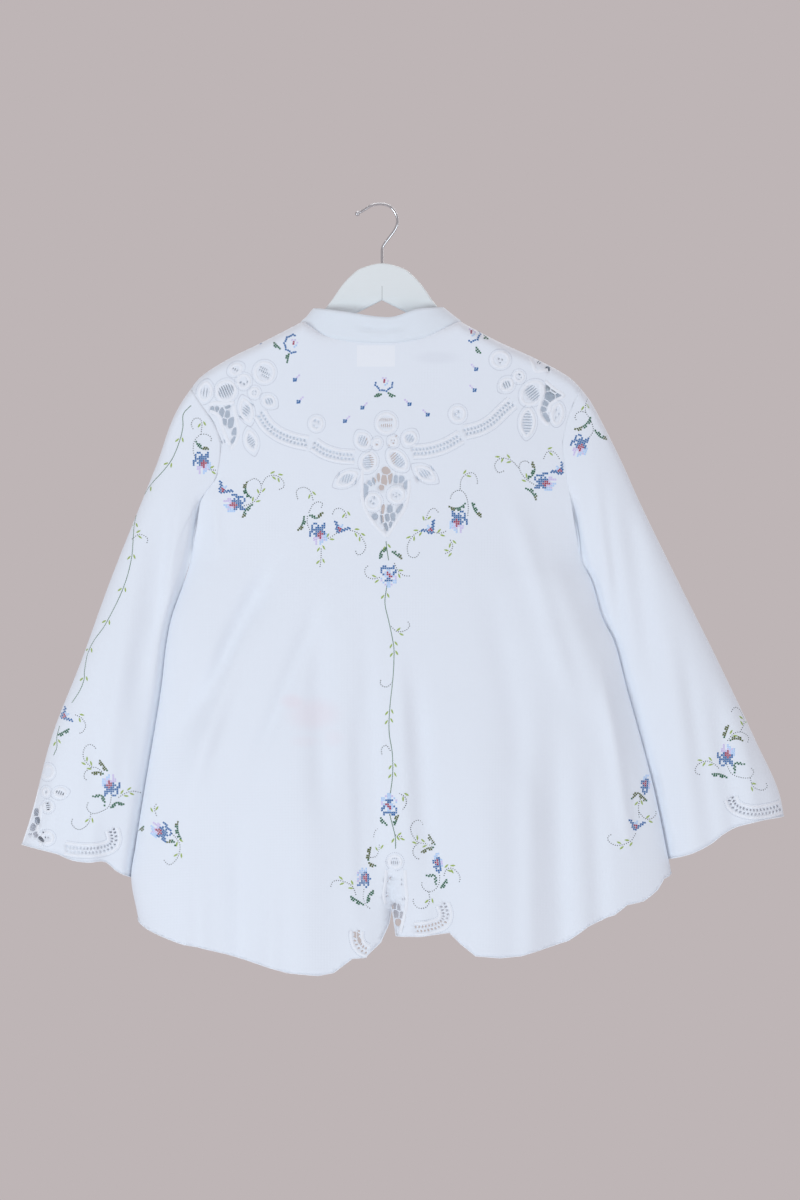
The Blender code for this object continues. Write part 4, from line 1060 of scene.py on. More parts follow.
def curve_through(points, step):
    """Places along a smooth curve through points in x and drop, about one step apart."""
    pts = [Vector(p) for p in points]
    pts = [pts[0] * 2 - pts[1]] + pts + [pts[-1] * 2 - pts[-2]]
    line = []
    for a, b, c, d in zip(pts, pts[1:], pts[2:], pts[3:]):
        count = max(int(ceil((c - b).length)), 2)
        square = 2 * a - 5 * b + 4 * c - d
        cube = 3 * b - a - 3 * c + d
        for t in (n / count for n in range(count)):
            line.append(0.5 * (2 * b + (c - a) * t + square * t * t + cube * t**3))
    line.append(pts[-2])
    lengths = [0.0]
    for a, b in zip(line, line[1:]):
        lengths.append(lengths[-1] + (b - a).length)
    count = max(int(round(lengths[-1] / step)), 1)
    even = np.linspace(0, lengths[-1], count + 1)
    xs = np.interp(even, lengths, [p.x for p in line])
    drops = np.interp(even, lengths, [p.y for p in line])
    return [Vector((x, drop)) for x, drop in zip(xs, drops)]


def photo_curve(points, step):
    return curve_through([from_photo(px, py) for px, py in points], step)


def crosswise(way):
    """A direction turned by a quarter."""
    return Vector((-way.y, way.x))


def sideways(line, i, closed=False):
    """Unit vector across a line of places, at its place i."""
    before = line[i - 1 if closed else max(i - 1, 0)]
    after = line[(i + 1) % len(line) if closed else min(i + 1, len(line) - 1)]
    return crosswise((after - before).normalized())


def uneven(seed):
    """A value from -1 to 1 that looks random and is the same on each run."""
    return sin(seed * 12.9898 + sin(seed * 4.1414) * 43.17)


CROSS_THREAD = 1.15
EDGE_MARGIN = 0.8
# How far apart the places are that tell the back's slope
SLOPE_STEP = 0.6
# How deep a stitch's ends go into the cloth, and where it is thick
STITCH_SINK = 0.1
STITCH_SHARES = (0.22, 0.78)
# A cross-stitch's two threads: how far each is turned, as a share of half a turn, and its height
CROSS_PARTS = ((0.25, 0.42), (-0.25, 0.55))
# Its threads' half-length as a share of the pitch, and how uneven their lengths and turns are
CROSS_REACH = 0.7
CROSS_CHANGE = 0.05
CROSS_TURN = 0.16
RUN_HEIGHT = 0.3
LEAF_STITCHES = 6
LEAF_SLANT = 0.35
LEAF_ROUND = 0.7
LEAF_OVERLAP = 1.25
LEAF_HEIGHT = 0.4
# A tape's domed section: place across it, height
DOME = ((-0.5, -0.15), (-0.42, 0.7), (0.0, 1.0), (0.42, 0.7), (0.5, -0.15))


class BackFace:
    """Finds places on the outside of the back."""

    def at(self, x, drop):
        if abs(x) > half_width[side_of(x)](drop) - EDGE_MARGIN:
            return None
        if drop < top_drop(x, neck_back) + EDGE_MARGIN:
            return None
        here = place(x, cloth_back_y(x, drop), drop)
        right = place(x + SLOPE_STEP, cloth_back_y(x + SLOPE_STEP, drop), drop) - here
        down = place(x, cloth_back_y(x, drop + SLOPE_STEP), drop + SLOPE_STEP) - here
        return here, right.cross(-down).normalized()


class MeshFace:
    """Finds places on the camera's side of another sheet."""

    def __init__(self, item):
        mesh = bmesh.new()
        mesh.from_mesh(item.data)
        self.tree = BVHTree.FromBMesh(mesh)
        mesh.free()

    def at(self, x, drop):
        hit, normal, _, _ = self.tree.ray_cast(Vector((x * MM, -1.0, -drop * MM)), Vector((0, 1, 0)))
        if hit is None:
            return None
        return hit / MM, -normal if normal.y > 0 else normal


class Sewing:
    """Collects the vertices and faces of sewn details, with a material for each face."""

    def __init__(self, face):
        self.face = face
        self.verts = []
        self.faces = []
        self.kinds = []

    def add(self, verts, faces, kind):
        start = len(self.verts)
        self.verts += verts
        self.faces += [tuple(start + i for i in face) for face in faces]
        self.kinds += [kind] * len(faces)

    def stitch(self, a, b, width, height, kind):
        """One stitch of thread between two places in x and drop."""
        ends = self.face.at(*a), self.face.at(*b)
        if None in ends:
            return
        (start, normal), (end, _) = ends
        if (end - start).length > 3.0 * hypot(b[0] - a[0], b[1] - a[1]) + 1.0:
            return
        side = (end - start).cross(normal).normalized() * width / 2
        verts = [start - normal * STITCH_SINK]
        for share in STITCH_SHARES:
            middle = start.lerp(end, share)
            verts += [middle + side, middle + normal * height, middle - side]
        verts.append(end - normal * STITCH_SINK)
        faces = [(0, 2, 1), (0, 3, 2), (1, 2, 5, 4), (2, 3, 6, 5), (7, 4, 5), (7, 5, 6)]
        self.add(verts, faces, kind)

    def cross(self, x, drop, turn, kind):
        """One cross-stitch."""
        for part, height in CROSS_PARTS:
            angle = turn + part * pi + CROSS_TURN * uneven(x + drop)
            reach = CROSS_PITCH * (CROSS_REACH + CROSS_CHANGE * uneven(x * 3 - drop))
            way = (cos(angle) * reach, sin(angle) * reach)
            ends = (x - way[0], drop - way[1]), (x + way[0], drop + way[1])
            self.stitch(*ends, CROSS_THREAD, height, kind)

    def running(self, line, length, width, kind):
        """Running stitches along evenly spaced places."""
        for a, b in zip(line, line[1:]):
            share = length / max((b - a).length, 0.01)
            self.stitch(a, a.lerp(b, min(share, 1.0)), width, RUN_HEIGHT, kind)

    def leaf(self, middle, length, width, turn, kind):
        """A small satin-stitch leaf: a raised almond with stitches across it."""
        way = Vector((cos(turn), sin(turn)))
        across = crosswise(way)
        for n in range(LEAF_STITCHES):
            share = (n + 0.5) / LEAF_STITCHES
            half = width / 2 * sin(pi * share) ** LEAF_ROUND
            spot = middle + way * length * (share - 0.5)
            a = spot - across * half - way * LEAF_SLANT
            b = spot + across * half + way * LEAF_SLANT
            self.stitch(a, b, length / LEAF_STITCHES * LEAF_OVERLAP, LEAF_HEIGHT, kind)

    def ribbon(self, line, width, height, kind, closed=False):
        """A domed tape along places in x and drop."""
        rows = []
        for i, spot in enumerate(line):
            across = sideways(line, i, closed) * width
            found = [self.face.at(*(spot + across * share)) for share, _ in DOME]
            if None in found:
                rows.append(None)
            else:
                rows.append([here + way * height * rise for (here, way), (_, rise) in zip(found, DOME)])
        for i in range(len(rows) if closed else len(rows) - 1):
            a, b = rows[i], rows[(i + 1) % len(rows)]
            if a and b:
                self.add(a + b, [(k, k + 1, k + 6, k + 5) for k in range(4)], kind)

    def finish(self, name, materials_of, order):
        """Makes one mesh of everything that was sewn."""
        if not self.faces:
            raise ValueError(f"{name}: nothing was sewn")
        item = build_mesh(name, self.verts, self.faces)
        if len(item.data.polygons) != len(self.kinds):
            raise ValueError(f"{name}: some faces were lost")
        used = [kind for kind in order if kind in set(self.kinds)]
        dress(item, materials_of, *used)
        item.data.polygons.foreach_set("material_index", [used.index(kind) for kind in self.kinds])
        smooth(item)
        weld(item)
        return item


# Tapes: an oval petal is its middle in photo pixels, its half-width and half-height, its turn in degrees,
# and how pointed its ends are
Petal = namedtuple("Petal", "px py wide high turn point")
PETALS = rows_of(Petal, [
    (386.4, 423.6, 11.4, 11.8, 0, 0), (363.2, 441, 8.8, 11, -28, 0.4), (409.8, 438.6, 8.4, 9.6, 32, 0.4),
    (377, 443.6, 5.6, 6.4, 20, 0), (393.2, 441.8, 6, 6.6, -16, 0), (368.6, 462.4, 9.6, 11.8, 20, 0.2),
    (397.6, 460.3, 9.4, 14.2, -42, 0.2), (347, 479, 8.2, 15, 60, 0.7), (425, 474, 8, 15, -56, 0.7),
    (373.2, 502, 9.4, 9.8, 0, 0), (396.6, 495.2, 9.6, 9.2, 0, 0), (316.6, 424, 8.2, 8.6, 0, 0),
    (457.6, 414.4, 9, 9.4, 0, 0), (264.7, 372.6, 11.8, 12.2, 0, 0), (243.8, 381.6, 8.2, 8.6, 0, 0),
    (254.6, 392.8, 6.4, 6.6, 0, 0), (269.3, 401.4, 7.4, 9.4, -52, 0.5), (226.2, 391, 11.6, 12.4, 24, 0.1),
    (246.4, 410.6, 8, 15, -16, 0.6), (251.2, 441.2, 7.6, 14, -14, 0.7), (500.2, 360, 10.6, 9.8, 0, 0),
    (518.8, 376.8, 6.8, 7, 0, 0), (506.6, 384.8, 8, 9.8, 50, 0.5), (532.3, 393.2, 12, 15.2, 42, 0.1),
    (527.3, 422.6, 9.2, 17, 4, 0.5), (557.4, 414, 7.6, 12.4, 8, 0.1), (395, 860, 8.2, 8.2, 0, 0),
    (205.2, 391.6, 8.4, 12, 12, 0.3), (236, 369.4, 7, 9, 58, 0.3),
])
CUFF_PETALS = rows_of(Petal, [
    (59.8, 793, 6.4, 9, 80, 0.5), (47.2, 807, 6.8, 6.4, 0, 0.1), (45, 792.4, 5.4, 5.8, 0, 0),
    (46.6, 772.6, 8, 8.6, 20, 0.1), (46.6, 838, 8.4, 7.6, 0, 0),
])
# Tapes that run in lines, in photo pixels
TAPES = [
    [(362.5, 470), (362, 484), (362.6, 500), (367.6, 514), (376, 526), (386.8, 537)],
    [(386.8, 537), (396, 523), (404, 510), (408.4, 496), (409.2, 481)],
    [(209, 404.6), (216, 402.6), (226, 403.4), (234.4, 402.2)],
    [(207.6, 411), (214, 412.4), (219.6, 417), (221.6, 425), (224.4, 433), (229.6, 445)],
    [(233.6, 405.6), (235.6, 417), (238.4, 430), (236.4, 441), (230.6, 449)],
    [(541, 382.4), (541.4, 396), (539.6, 405), (538.6, 413), (543.8, 421.6), (548.8, 425)],
    [(545, 381), (555, 389.4), (563.6, 395.4), (555.6, 400.4), (550.6, 404.6), (549.6, 412)],
    [(529.6, 357), (532.6, 364), (535.6, 371.4), (541, 371), (548, 369.6)],
    [(386.6, 868), (385.6, 880), (384, 893), (385.6, 902)],
    [(405, 868), (405.6, 882), (406.8, 897), (404.6, 912), (400, 930)],
]
CUFF_TAPES = [
    [(33, 806), (30, 818), (27.4, 826), (20.4, 842)],
    [(39.6, 806), (39, 818), (36, 828), (38.6, 838), (40.4, 846)],
]
TAPE_WIDTH = 4.2
TAPE_HEIGHT = 0.38
TAPE_STEP = 2.2
PETAL_TAPE = 3.8
PETAL_TAPE_IN = 0.75
PETAL_NARROW = 0.75
# Dotted outlines beside the tapes: grey running stitches as painted shade for the row of tiny holes there
OUTLINE_STITCH = 1.5
OUTLINE_PITCH = 2.3
OUTLINE_WIDTH = 0.55
OUTLINE_AWAY = 1.2
BRAID_EDGE = 6.6
BRAID_EDGE_TAPE = 3.0
BRAID_EDGE_HEIGHT = 0.7
BRAID_OUTLINE = 9.4
BRAID_CORD = 0.9
BRAID_CORD_HEIGHT = 0.4
LACE_ORDER = ["tape", "painted shade dots"]


def petal_line(petal, grow, step):
    """A closed line round a petal, grown by a distance in millimetres."""
    turn = radians(petal.turn)
    wide = petal.wide * MM_PER_PIXEL + grow
    high = petal.high * MM_PER_PIXEL + grow * (1 + petal.point)
    x, drop = from_photo(petal.px, petal.py)
    count = max(int(2 * pi * max(wide, high) / step), 12)
    line = []
    for n in range(count):
        angle = 2 * pi * n / count
        narrow = 1 - petal.point * abs(cos(angle)) ** 3 * PETAL_NARROW
        across = wide * sin(angle) * narrow
        along = high * cos(angle)
        there = x + across * cos(turn) - along * sin(turn)
        line.append(Vector((there, drop + across * sin(turn) + along * cos(turn))))
    return line


def beside(line, away):
    """A line moved sideways."""
    return [p + sideways(line, i) * away for i, p in enumerate(line)]


def sew_lace(work, petals, tapes, braids):
    for petal in petals:
        inner = petal_line(petal, -PETAL_TAPE * PETAL_TAPE_IN, TAPE_STEP)
        work.ribbon(inner, PETAL_TAPE, TAPE_HEIGHT, "tape", closed=True)
        # A dotted outline of grey stitches: painted shade for the row of tiny holes beside the tape
        outline = petal_line(petal, OUTLINE_AWAY, OUTLINE_PITCH)
        work.running(outline + outline[:1], OUTLINE_STITCH, OUTLINE_WIDTH, "painted shade dots")
    for tape in tapes:
        work.ribbon(photo_curve(tape, TAPE_STEP), TAPE_WIDTH, TAPE_HEIGHT, "tape")
    for braid in braids:
        line = photo_curve(braid, TAPE_STEP)
        for way in (-1, 1):
            edge = beside(line, way * BRAID_EDGE)
            work.ribbon(edge, BRAID_EDGE_TAPE, TAPE_HEIGHT * BRAID_EDGE_HEIGHT, "tape")
            # Grey dots of painted shade for the tiny holes along the braid's edges
            dots = curve_through(beside(line, way * BRAID_OUTLINE), OUTLINE_PITCH)
            work.running(dots, OUTLINE_STITCH, OUTLINE_WIDTH, "painted shade dots")
        work.ribbon(line, BRAID_CORD, BRAID_CORD_HEIGHT, "tape")
    return work


def lace_jobs():
    """The face, name and maker of each panel's lace."""
    left = MeshFace(bpy.data.objects["sleeve_left_cloth"])
    right = MeshFace(bpy.data.objects["sleeve_right_cloth"])
    return (
        (BackFace(), "lace_back", lambda work: sew_lace(work, PETALS, TAPES, BRAIDS_BACK)),
        (left, "lace_cuff_left", lambda work: sew_lace(work, CUFF_PETALS, CUFF_TAPES, BRAIDS_LEFT_CUFF)),
        (right, "lace_cuff_right", lambda work: sew_lace(work, [], [], BRAIDS_RIGHT_CUFF)),
    )


# Embroidery

# Cross-stitch charts: D dark blue, L light blue, V lilac, R red
CROSS_PITCH = 2.45
CHART_KINDS = {
    "D": "dark blue thread",
    "L": "light blue thread",
    "V": "lilac thread",
    "R": "red thread",
}
FLOWER = [
    "..DD...D.",
    ".D..D.DD.",
    ".D.DDDDD.",
    ".DDDDDD..",
    "DD.DDRDD.",
    "D.DDRRRDL",
    "D..DRRVLL",
    "..VVVRVLL",
    "..VV.VLVL",
    "...V.LL..",
    "...V.L...",
]
BUD = [
    "DD..L..DD",
    ".DDLL.DD.",
    "..DRRDD..",
    "..DDRD...",
    "...DD....",
]
NARROW = [
    "..LL.",
    ".LL..",
    ".LDD.",
    "DDRDL",
    "DRRDV",
    ".DRDV",
    "DDDDL",
    ".D.D.",
    ".DDD.",
    "..D..",
]
OPEN_FLOWER = [
    ".DD...D.",
    "DDDDDDD.",
    "D..LL..D",
    "D.LRL.DD",
    ".DLRRLD.",
    "..LLRRLV",
    "L..DD..V",
    "V.DDDDLL",
    ".L.LL.LL",
    "..VLLV..",
    "...LL...",
]
SIDE_FLOWER = [
    "..L.L..",
    ".LLLL..",
    "VLLDD..",
    "L.DDRD.",
    ".VDRRD.",
    "LVDRRDD",
    "V.DDRD.",
    ".DDDDD.",
    "DD.D.D.",
    "....D..",
]
CHARTS = {
    "flower": FLOWER,
    "flower mirrored": [row[::-1] for row in FLOWER],
    "bud": BUD,
    "narrow": NARROW,
    "open flower": OPEN_FLOWER,
    "side flower": SIDE_FLOWER,
}

# Where each flower is in the photo, and how far it is turned, in degrees clockwise
Bloom = namedtuple("Bloom", "chart px py turn")
# A narrow leaf from end to end, its sag as a share of its length, and how much of it is olive
Leaf = namedtuple("Leaf", "px1 py1 px2 py2 sag olive")
Tendril = namedtuple("Tendril", "points leaves")
BACK_BLOOMS = rows_of(Bloom, [
    ("flower", 318.5, 534, 0), ("flower mirrored", 458.5, 522, 0), ("open flower", 388.6, 576.5, 0),
    ("flower", 234.4, 503, 90), ("flower mirrored", 545.3, 481.5, -90), ("open flower", 389.2, 803, 180),
    ("side flower", 364.3, 876, 0), ("narrow", 437.4, 861.4, -8), ("flower", 160.8, 830.4, 125),
    ("narrow", 646, 785, 6), ("bud", 340.8, 529, 25), ("bud", 430.4, 529, -40), ("bud", 223.6, 489.5, 38),
    ("bud", 560, 469.4, -44), ("bud", 636.4, 825.4, 10),
])
BACK_LEAVES = rows_of(Leaf, [
    (298.3, 530.1, 304.3, 517, 0.1, 0.3), (322.8, 513.2, 310.1, 515.7, -0.3, 0.4),
    (449.2, 506.9, 464.9, 503.8, 0.2, 0.35), (480.6, 516.8, 472.2, 503.4, -0.1, 0.3),
    (379.9, 558.1, 386, 548.2, -0.17, 0), (401.4, 558.5, 392.6, 552, 0, 0.25),
    (246.8, 482.5, 250.8, 497.4, 0.2, 0.35), (242.8, 516.9, 252.2, 504.9, -0.12, 0.15),
    (532.6, 462.4, 528.3, 478.5, -0.24, 0.35), (535.9, 499.4, 525.9, 488.5, 0.12, 0.25),
    (369.3, 861.4, 375.5, 864.1, 0, 1), (370.6, 846.3, 368.4, 858.3, 0, 1),
    (367.5, 900.3, 373.3, 889.1, -0.15, 0), (351.4, 894.5, 363.5, 902.5, 0, 0),
    (428.7, 833.8, 434.5, 842.7, 0, 1), (421.5, 850.3, 432.7, 845.8, -0.08, 1),
    (426.4, 873.5, 435.8, 882, -0.4, 0), (440.7, 885.5, 446.1, 877.9, 0, 0),
    (380.9, 816.8, 386.7, 823.5, 0, 0), (398.3, 814.1, 394.7, 823, 0, 0.5),
    (178.3, 821.5, 181.2, 837.9, 0.1, 0.25), (167.4, 841.8, 175.6, 844.8, -0.4, 0.4),
    (138.6, 830.7, 142.9, 827.2, 0, 1), (638.1, 793.2, 631.7, 798.5, 0, 1), (640, 794, 646.7, 800.7, 0, 1),
    (274.4, 343.2, 280, 348.9, 0, 0), (289, 354.5, 287.3, 362.6, 0, 0), (375.2, 396.6, 381, 394.8, -0.2, 0),
    (388.5, 393.5, 394.6, 396.3, 0, 0), (484.3, 335.2, 487.6, 338.4, 0, 0),
    (476.3, 348, 480.2, 353.1, 0, 0),
])
BACK_TENDRILS = rows_of(Tendril, [
    ([(298, 499.4), (296.4, 492), (300, 488.4), (305, 487.6), (310.4, 491), (313.6, 501.6)], (0.86,)),
    ([(321.5, 508), (322.8, 503.6), (318, 502), (313, 505), (308.6, 514)], ()),
    ([(307.6, 516), (307.6, 524), (310.6, 531)], ()),
    ([(328, 538.6), (333, 536), (338, 532.4)], (0.2,)),
    ([(332.6, 514.6), (335.4, 509.4), (340.4, 508.6), (344.6, 511.6), (346.6, 516), (345.4, 519)], (0.9,)),
    ([(350, 530.4), (358, 533), (363.4, 540), (366, 547), (362.6, 553.4), (357.6, 555), (355.4, 549.8)],
        (0.2, 0.36)),
    ([(321.4, 548.6), (321.2, 560), (320, 568)], (0.1, 0.7)),
    ([(467.6, 516), (468, 505), (465, 494), (458.6, 490.4), (452, 494), (450, 500)], ()),
    ([(460, 489.5), (461, 480), (466, 474.6), (473, 473), (477, 479), (477, 485)], (0.5,)),
    ([(425.6, 520.5), (428.6, 512), (434, 508.4), (439, 513.6)], (0.1,)),
    ([(422, 530), (413, 536), (407.4, 546), (409, 556), (416, 557.4), (420, 551.5)], (0.12, 0.3)),
    ([(434, 532.6), (440, 533.4), (447, 531)], (0.6,)),
    ([(450, 540), (452.6, 546), (450, 551.5), (444, 554)], (0.3, 0.8)),
    ([(380, 577.4), (373, 579), (366.4, 576), (365, 569.6), (369, 565)], (0.2,)),
    ([(394.3, 563), (398, 571), (404, 575.6), (411, 576)], (0.5,)),
    ([(391, 626), (397, 631.4), (405, 630.4), (409.8, 625.6), (407.2, 620.6)], (0.4,)),
    ([(392.4, 682), (386.7, 686.6), (380.6, 684), (381.2, 678.6)], ()),
    ([(390.5, 750), (386.4, 744.4), (381.6, 747.5), (382.2, 754.6)], ()),
    ([(399, 792), (405.4, 796), (406, 803), (402, 809)], (0.3,)),
    ([(356.4, 893), (352.6, 884), (343, 879), (334, 879), (330.8, 885.5)], (0.35, 0.6)),
    ([(364.2, 887), (363.4, 896), (367, 904), (371.4, 907)], ()),
    ([(370.4, 856), (376, 855), (379, 849), (379.4, 842)], (0.8,)),
    ([(373.7, 836), (375, 830), (379, 826.6)], ()),
    ([(434, 846), (427, 842.4), (418, 840.6), (411.6, 832), (411, 824), (416, 819), (421.4, 820),
        (423, 824.6)], (0.24, 0.4)),
    ([(418, 841.6), (413.6, 846), (413, 852), (417, 857), (420, 856.4)], ()),
    ([(443.6, 874), (445.6, 868), (450.4, 866), (456, 869), (459.6, 875), (458.6, 881)], (0.3, 0.45)),
    ([(439.4, 873), (438.6, 882), (434, 888), (427.6, 889.4), (422, 884.6), (422, 879)], ()),
    ([(428.6, 889.6), (429.4, 899), (425.6, 905), (418, 905.6), (413, 900), (413.8, 895.4)], (0.28,)),
    ([(395.4, 833), (399, 835), (403, 834.6)], (1,)),
    ([(170.5, 831.6), (177, 838), (180.6, 846), (178, 857), (170, 864.4), (163.3, 859)], (0.3, 0.55)),
    ([(156.6, 816), (154, 808), (157, 803)], (0.5,)),
    ([(642, 794.6), (638.6, 806), (639.3, 818.6)], (0.4,)),
    ([(639.3, 812.3), (645, 818.6), (652, 819), (656.8, 814.4), (656, 810.6)], (0.5,)),
    ([(635.6, 833), (630, 841), (617, 845), (608.4, 841), (607.7, 836), (611.9, 833.6)], (0.3, 0.5)),
    ([(536, 485.6), (526, 479), (519.6, 470), (520.6, 462.6), (527, 461), (529.4, 464)], (0.35,)),
    ([(518.6, 468), (511, 460.4), (500.5, 458.4), (494.5, 465), (498, 472.6), (505, 470.6)], (0.3, 0.5)),
    ([(543.6, 459), (547, 452), (553, 451.4), (558, 456), (560, 460)], (0.5,)),
    ([(243.9, 505.8), (253, 502.6), (260, 494), (261, 484), (255, 478.6), (246.8, 482)], (0.3, 0.5)),
    ([(262, 484.3), (267, 477), (276, 475.6), (283, 480.6), (284, 487), (278.3, 490.2)], (0.4, 0.6)),
])
# Stems in stem stitch, with the shares where a pair of leaves stands
BACK_STEMS = rows_of(Tendril, [
    ([(386, 541), (387, 550), (388.6, 560)], (0.4,)),
    ([(387, 585), (385, 603), (388.6, 620), (392, 636), (394, 650), (393.2, 675), (389.8, 708),
        (389.2, 731), (392.4, 753), (392.6, 774), (390.4, 792)], (0.06, 0.3, 0.34, 0.62, 0.66, 0.88, 0.92)),
    ([(389.6, 812), (391, 818), (395.2, 834.6), (395.6, 846.6)], (0.75,)),
])
# Half-wreaths on the yoke: middle, where the arc starts and how far it runs, in degrees from the right
Wreath = namedtuple("Wreath", "px py start sweep")
WREATHS = rows_of(Wreath, [
    (293.6, 344.2, 80, 205), (384.2, 382.4, 185, 170), (471.2, 333, -105, 200),
])
# Single florets: place, and the side on which their lilac stitch lies
Floret = namedtuple("Floret", "px py side")
FLORETS = rows_of(Floret, [
    (295, 380, 1), (298.6, 402, 1), (345, 421.4, 1), (362.4, 408, 1), (409.4, 404.6, -1), (427.6, 415, -1),
    (476, 369.4, -1), (474.4, 390.4, -1), (259.6, 342.6, 1),
])

LEFT_BLOOMS = rows_of(Bloom, [
    ("flower", 201.6, 462.8, 0), ("flower", 111, 785.4, 180), ("bud", 64, 716.4, 60),
])
LEFT_LEAVES = rows_of(Leaf, [
    (208, 449, 196, 441.5, -0.2, 0.35), (99.7, 760.8, 107, 770.4, 0, 1),
    (92.1, 773.1, 102.8, 773.8, -0.1, 1), (92.8, 796.4, 104.3, 805.6, -0.4, 0),
    (110.8, 807.5, 123.1, 804.4, -0.24, 0), (57.3, 735.2, 68, 729.5, 0, 0),
])
LEFT_TENDRILS = rows_of(Tendril, [
    ([(193, 429), (191, 424), (194, 418.6), (199.6, 418.4), (201.8, 424), (201, 433)], (0.75,)),
    ([(200.6, 434), (207, 434.4), (211.4, 438), (210, 442)], ()),
    ([(200.6, 434), (194.6, 440), (193, 450), (195.4, 459)], ()),
    ([(208.6, 469.6), (216.6, 470)], (0.6,)),
    ([(101.8, 771.6), (96, 767.6), (91, 767), (84, 759.8), (83, 752), (86.4, 745.6), (92, 745),
        (96.4, 749.6)], (0.3, 0.45)),
    ([(91, 767.6), (85, 772), (84, 778), (87.4, 780.6)], ()),
    ([(118, 797.8), (124, 794), (132, 791.4), (141, 793.8)], (0.3, 0.6)),
    ([(111.4, 795), (109, 806), (101, 811.6), (92, 813.6), (86.6, 808), (88.4, 801.4)], ()),
    ([(90.8, 814), (88, 824), (79, 829.8), (71.6, 824.6), (72.6, 818)], (0.2,)),
    ([(74.3, 715), (81, 718), (85.4, 725), (82.6, 732), (78, 733.6)], (0.3,)),
    ([(131, 539), (139, 534), (147, 538), (146, 544)], (0.4,)),
])
LEFT_STEMS = rows_of(Tendril, [
    ([(191, 405), (183, 414), (182.6, 427), (179, 441.7), (172, 458.3), (163, 470.4), (151.5, 482.5),
        (143.8, 494), (134, 520), (131, 558), (122, 590), (105, 624), (93.4, 640), (86.6, 654), (83.6, 671),
        (83.4, 679), (79.4, 690), (71, 703)], (0.12, 0.2, 0.3, 0.42, 0.52, 0.62, 0.73, 0.83, 0.92)),
    ([(58.4, 726), (55.6, 738), (56, 747), (52.8, 755.4)], (0.6,)),
])
RIGHT_BLOOMS = rows_of(Bloom, [
    ("flower", 579.4, 445.6, 20), ("flower mirrored", 726.4, 755.4, 180),
])
RIGHT_LEAVES = rows_of(Leaf, [
    (575.3, 428.9, 590.6, 417.6, 0.14, 0.35), (606.7, 438.7, 595.6, 430.3, -0.13, 0.25),
    (729, 726, 724.8, 737.5, 0, 1), (743.2, 740.9, 730.9, 740.5, 0.15, 1),
    (735.1, 772.7, 744.7, 764.3, -0.5, 0), (712.6, 774.2, 727.1, 777.7, -0.1, 0),
])
RIGHT_TENDRILS = rows_of(Tendril, [
    ([(588.6, 396), (585.8, 404), (586, 412), (591, 420), (593.6, 430), (589, 438)], (0.25,)),
    ([(586, 412), (579.6, 411.4), (575, 416), (577, 421)], ()),
    ([(728, 741), (734, 734), (742, 732.4), (749.6, 737), (748.4, 744)], (0.3,)),
    ([(741, 732.4), (745.6, 722), (742, 711), (736, 707.6), (731.6, 713)], (0.3, 0.5)),
    ([(719.4, 768.6), (713.6, 763.4), (705.8, 761.2), (697, 765.6), (695.4, 772.6), (701, 775)], (0.3,
        0.5)),
    ([(727.2, 764.4), (731.8, 773.6), (741, 777.6), (750.4, 777.6), (754.4, 772), (751, 767.4)], ()),
    ([(750.4, 778), (753.4, 786.6), (762, 790.6), (768.4, 787.6), (766.6, 782.6)], (0.3,)),
])
PANELS = {
    "back": (BACK_BLOOMS, BACK_LEAVES, BACK_TENDRILS, BACK_STEMS, WREATHS, FLORETS),
    "left": (LEFT_BLOOMS, LEFT_LEAVES, LEFT_TENDRILS, LEFT_STEMS, [], []),
    "right": (RIGHT_BLOOMS, RIGHT_LEAVES, RIGHT_TENDRILS, [], [], []),
}
RUN_PITCH = 2.7
RUN_STITCH = 1.4
RUN_WIDTH = 1.2
STEM_WIDTH = 1.0
STEM_STITCH = 3.4
SMALL_LEAF = (5.6, 2.7)
LEAF_AWAY = 3.2
LEAF_FORWARD = 1.2
LEAF_SPLAY = 0.55
LEAF_ROW = 0.9
STEM_SLANT = 0.3
STEM_HEIGHT = 0.4
# A floret's crosses: across and down from its middle
FLORET_STEP = 1.1
FLORET_CROSSES = ((-1.0, -1.0), (1.0, 0.9), (-1.1, 1.2), (1.4, -0.9))
FLORET_TIPS = (3.0, 5.2)
WREATH_RADIUS = 10.4
# A wreath's centre: across and down from its middle, thread
WREATH_CENTRE = (
    (0.0, 0.0, "red thread"),
    (0.3, -2.4, "red thread"),
    (-1.6, -4.6, "lilac thread"),
    (1.8, -4.4, "lilac thread"),
    (3.4, 1.8, "light blue thread"),
    (1.2, 3.6, "light blue thread"),
    (4.6, -1.4, "lilac thread"),
)


def sew_bloom(work, bloom):
    """A flower or bud in cross-stitch, from its chart."""
    chart = CHARTS[bloom.chart]
    turn = radians(bloom.turn)
    x0, drop0 = from_photo(bloom.px, bloom.py)
    for row, line in enumerate(chart):
        for column, letter in enumerate(line):
            if letter == ".":
                continue
            across = (column - (len(line) - 1) / 2) * CROSS_PITCH
            along = (row - (len(chart) - 1) / 2) * CROSS_PITCH
            x = x0 + across * cos(turn) - along * sin(turn)
            drop = drop0 + across * sin(turn) + along * cos(turn)
            work.cross(x, drop, turn, CHART_KINDS[letter])


def sew_dark_leaf(work, leaf):
    """A narrow leaf: a row of cross-stitches, doubled in the middle, olive at one end."""
    start = Vector(from_photo(leaf.px1, leaf.py1))
    along = Vector(from_photo(leaf.px2, leaf.py2)) - start
    across = crosswise(along)
    count = max(int(round(along.length / CROSS_PITCH)) + 1, 3)
    for n in range(count):
        share = n / (count - 1)
        kind = "olive thread" if share < leaf.olive else "dark green thread"
        spot = start + along * share + across * (leaf.sag * 4 * share * (1 - share))
        work.cross(spot.x, spot.y, 0.0, kind)
        if 0 < n < count - 1 and n % 3:
            spot += across.normalized() * CROSS_PITCH * LEAF_ROW
            work.cross(spot.x, spot.y, 0.0, kind)


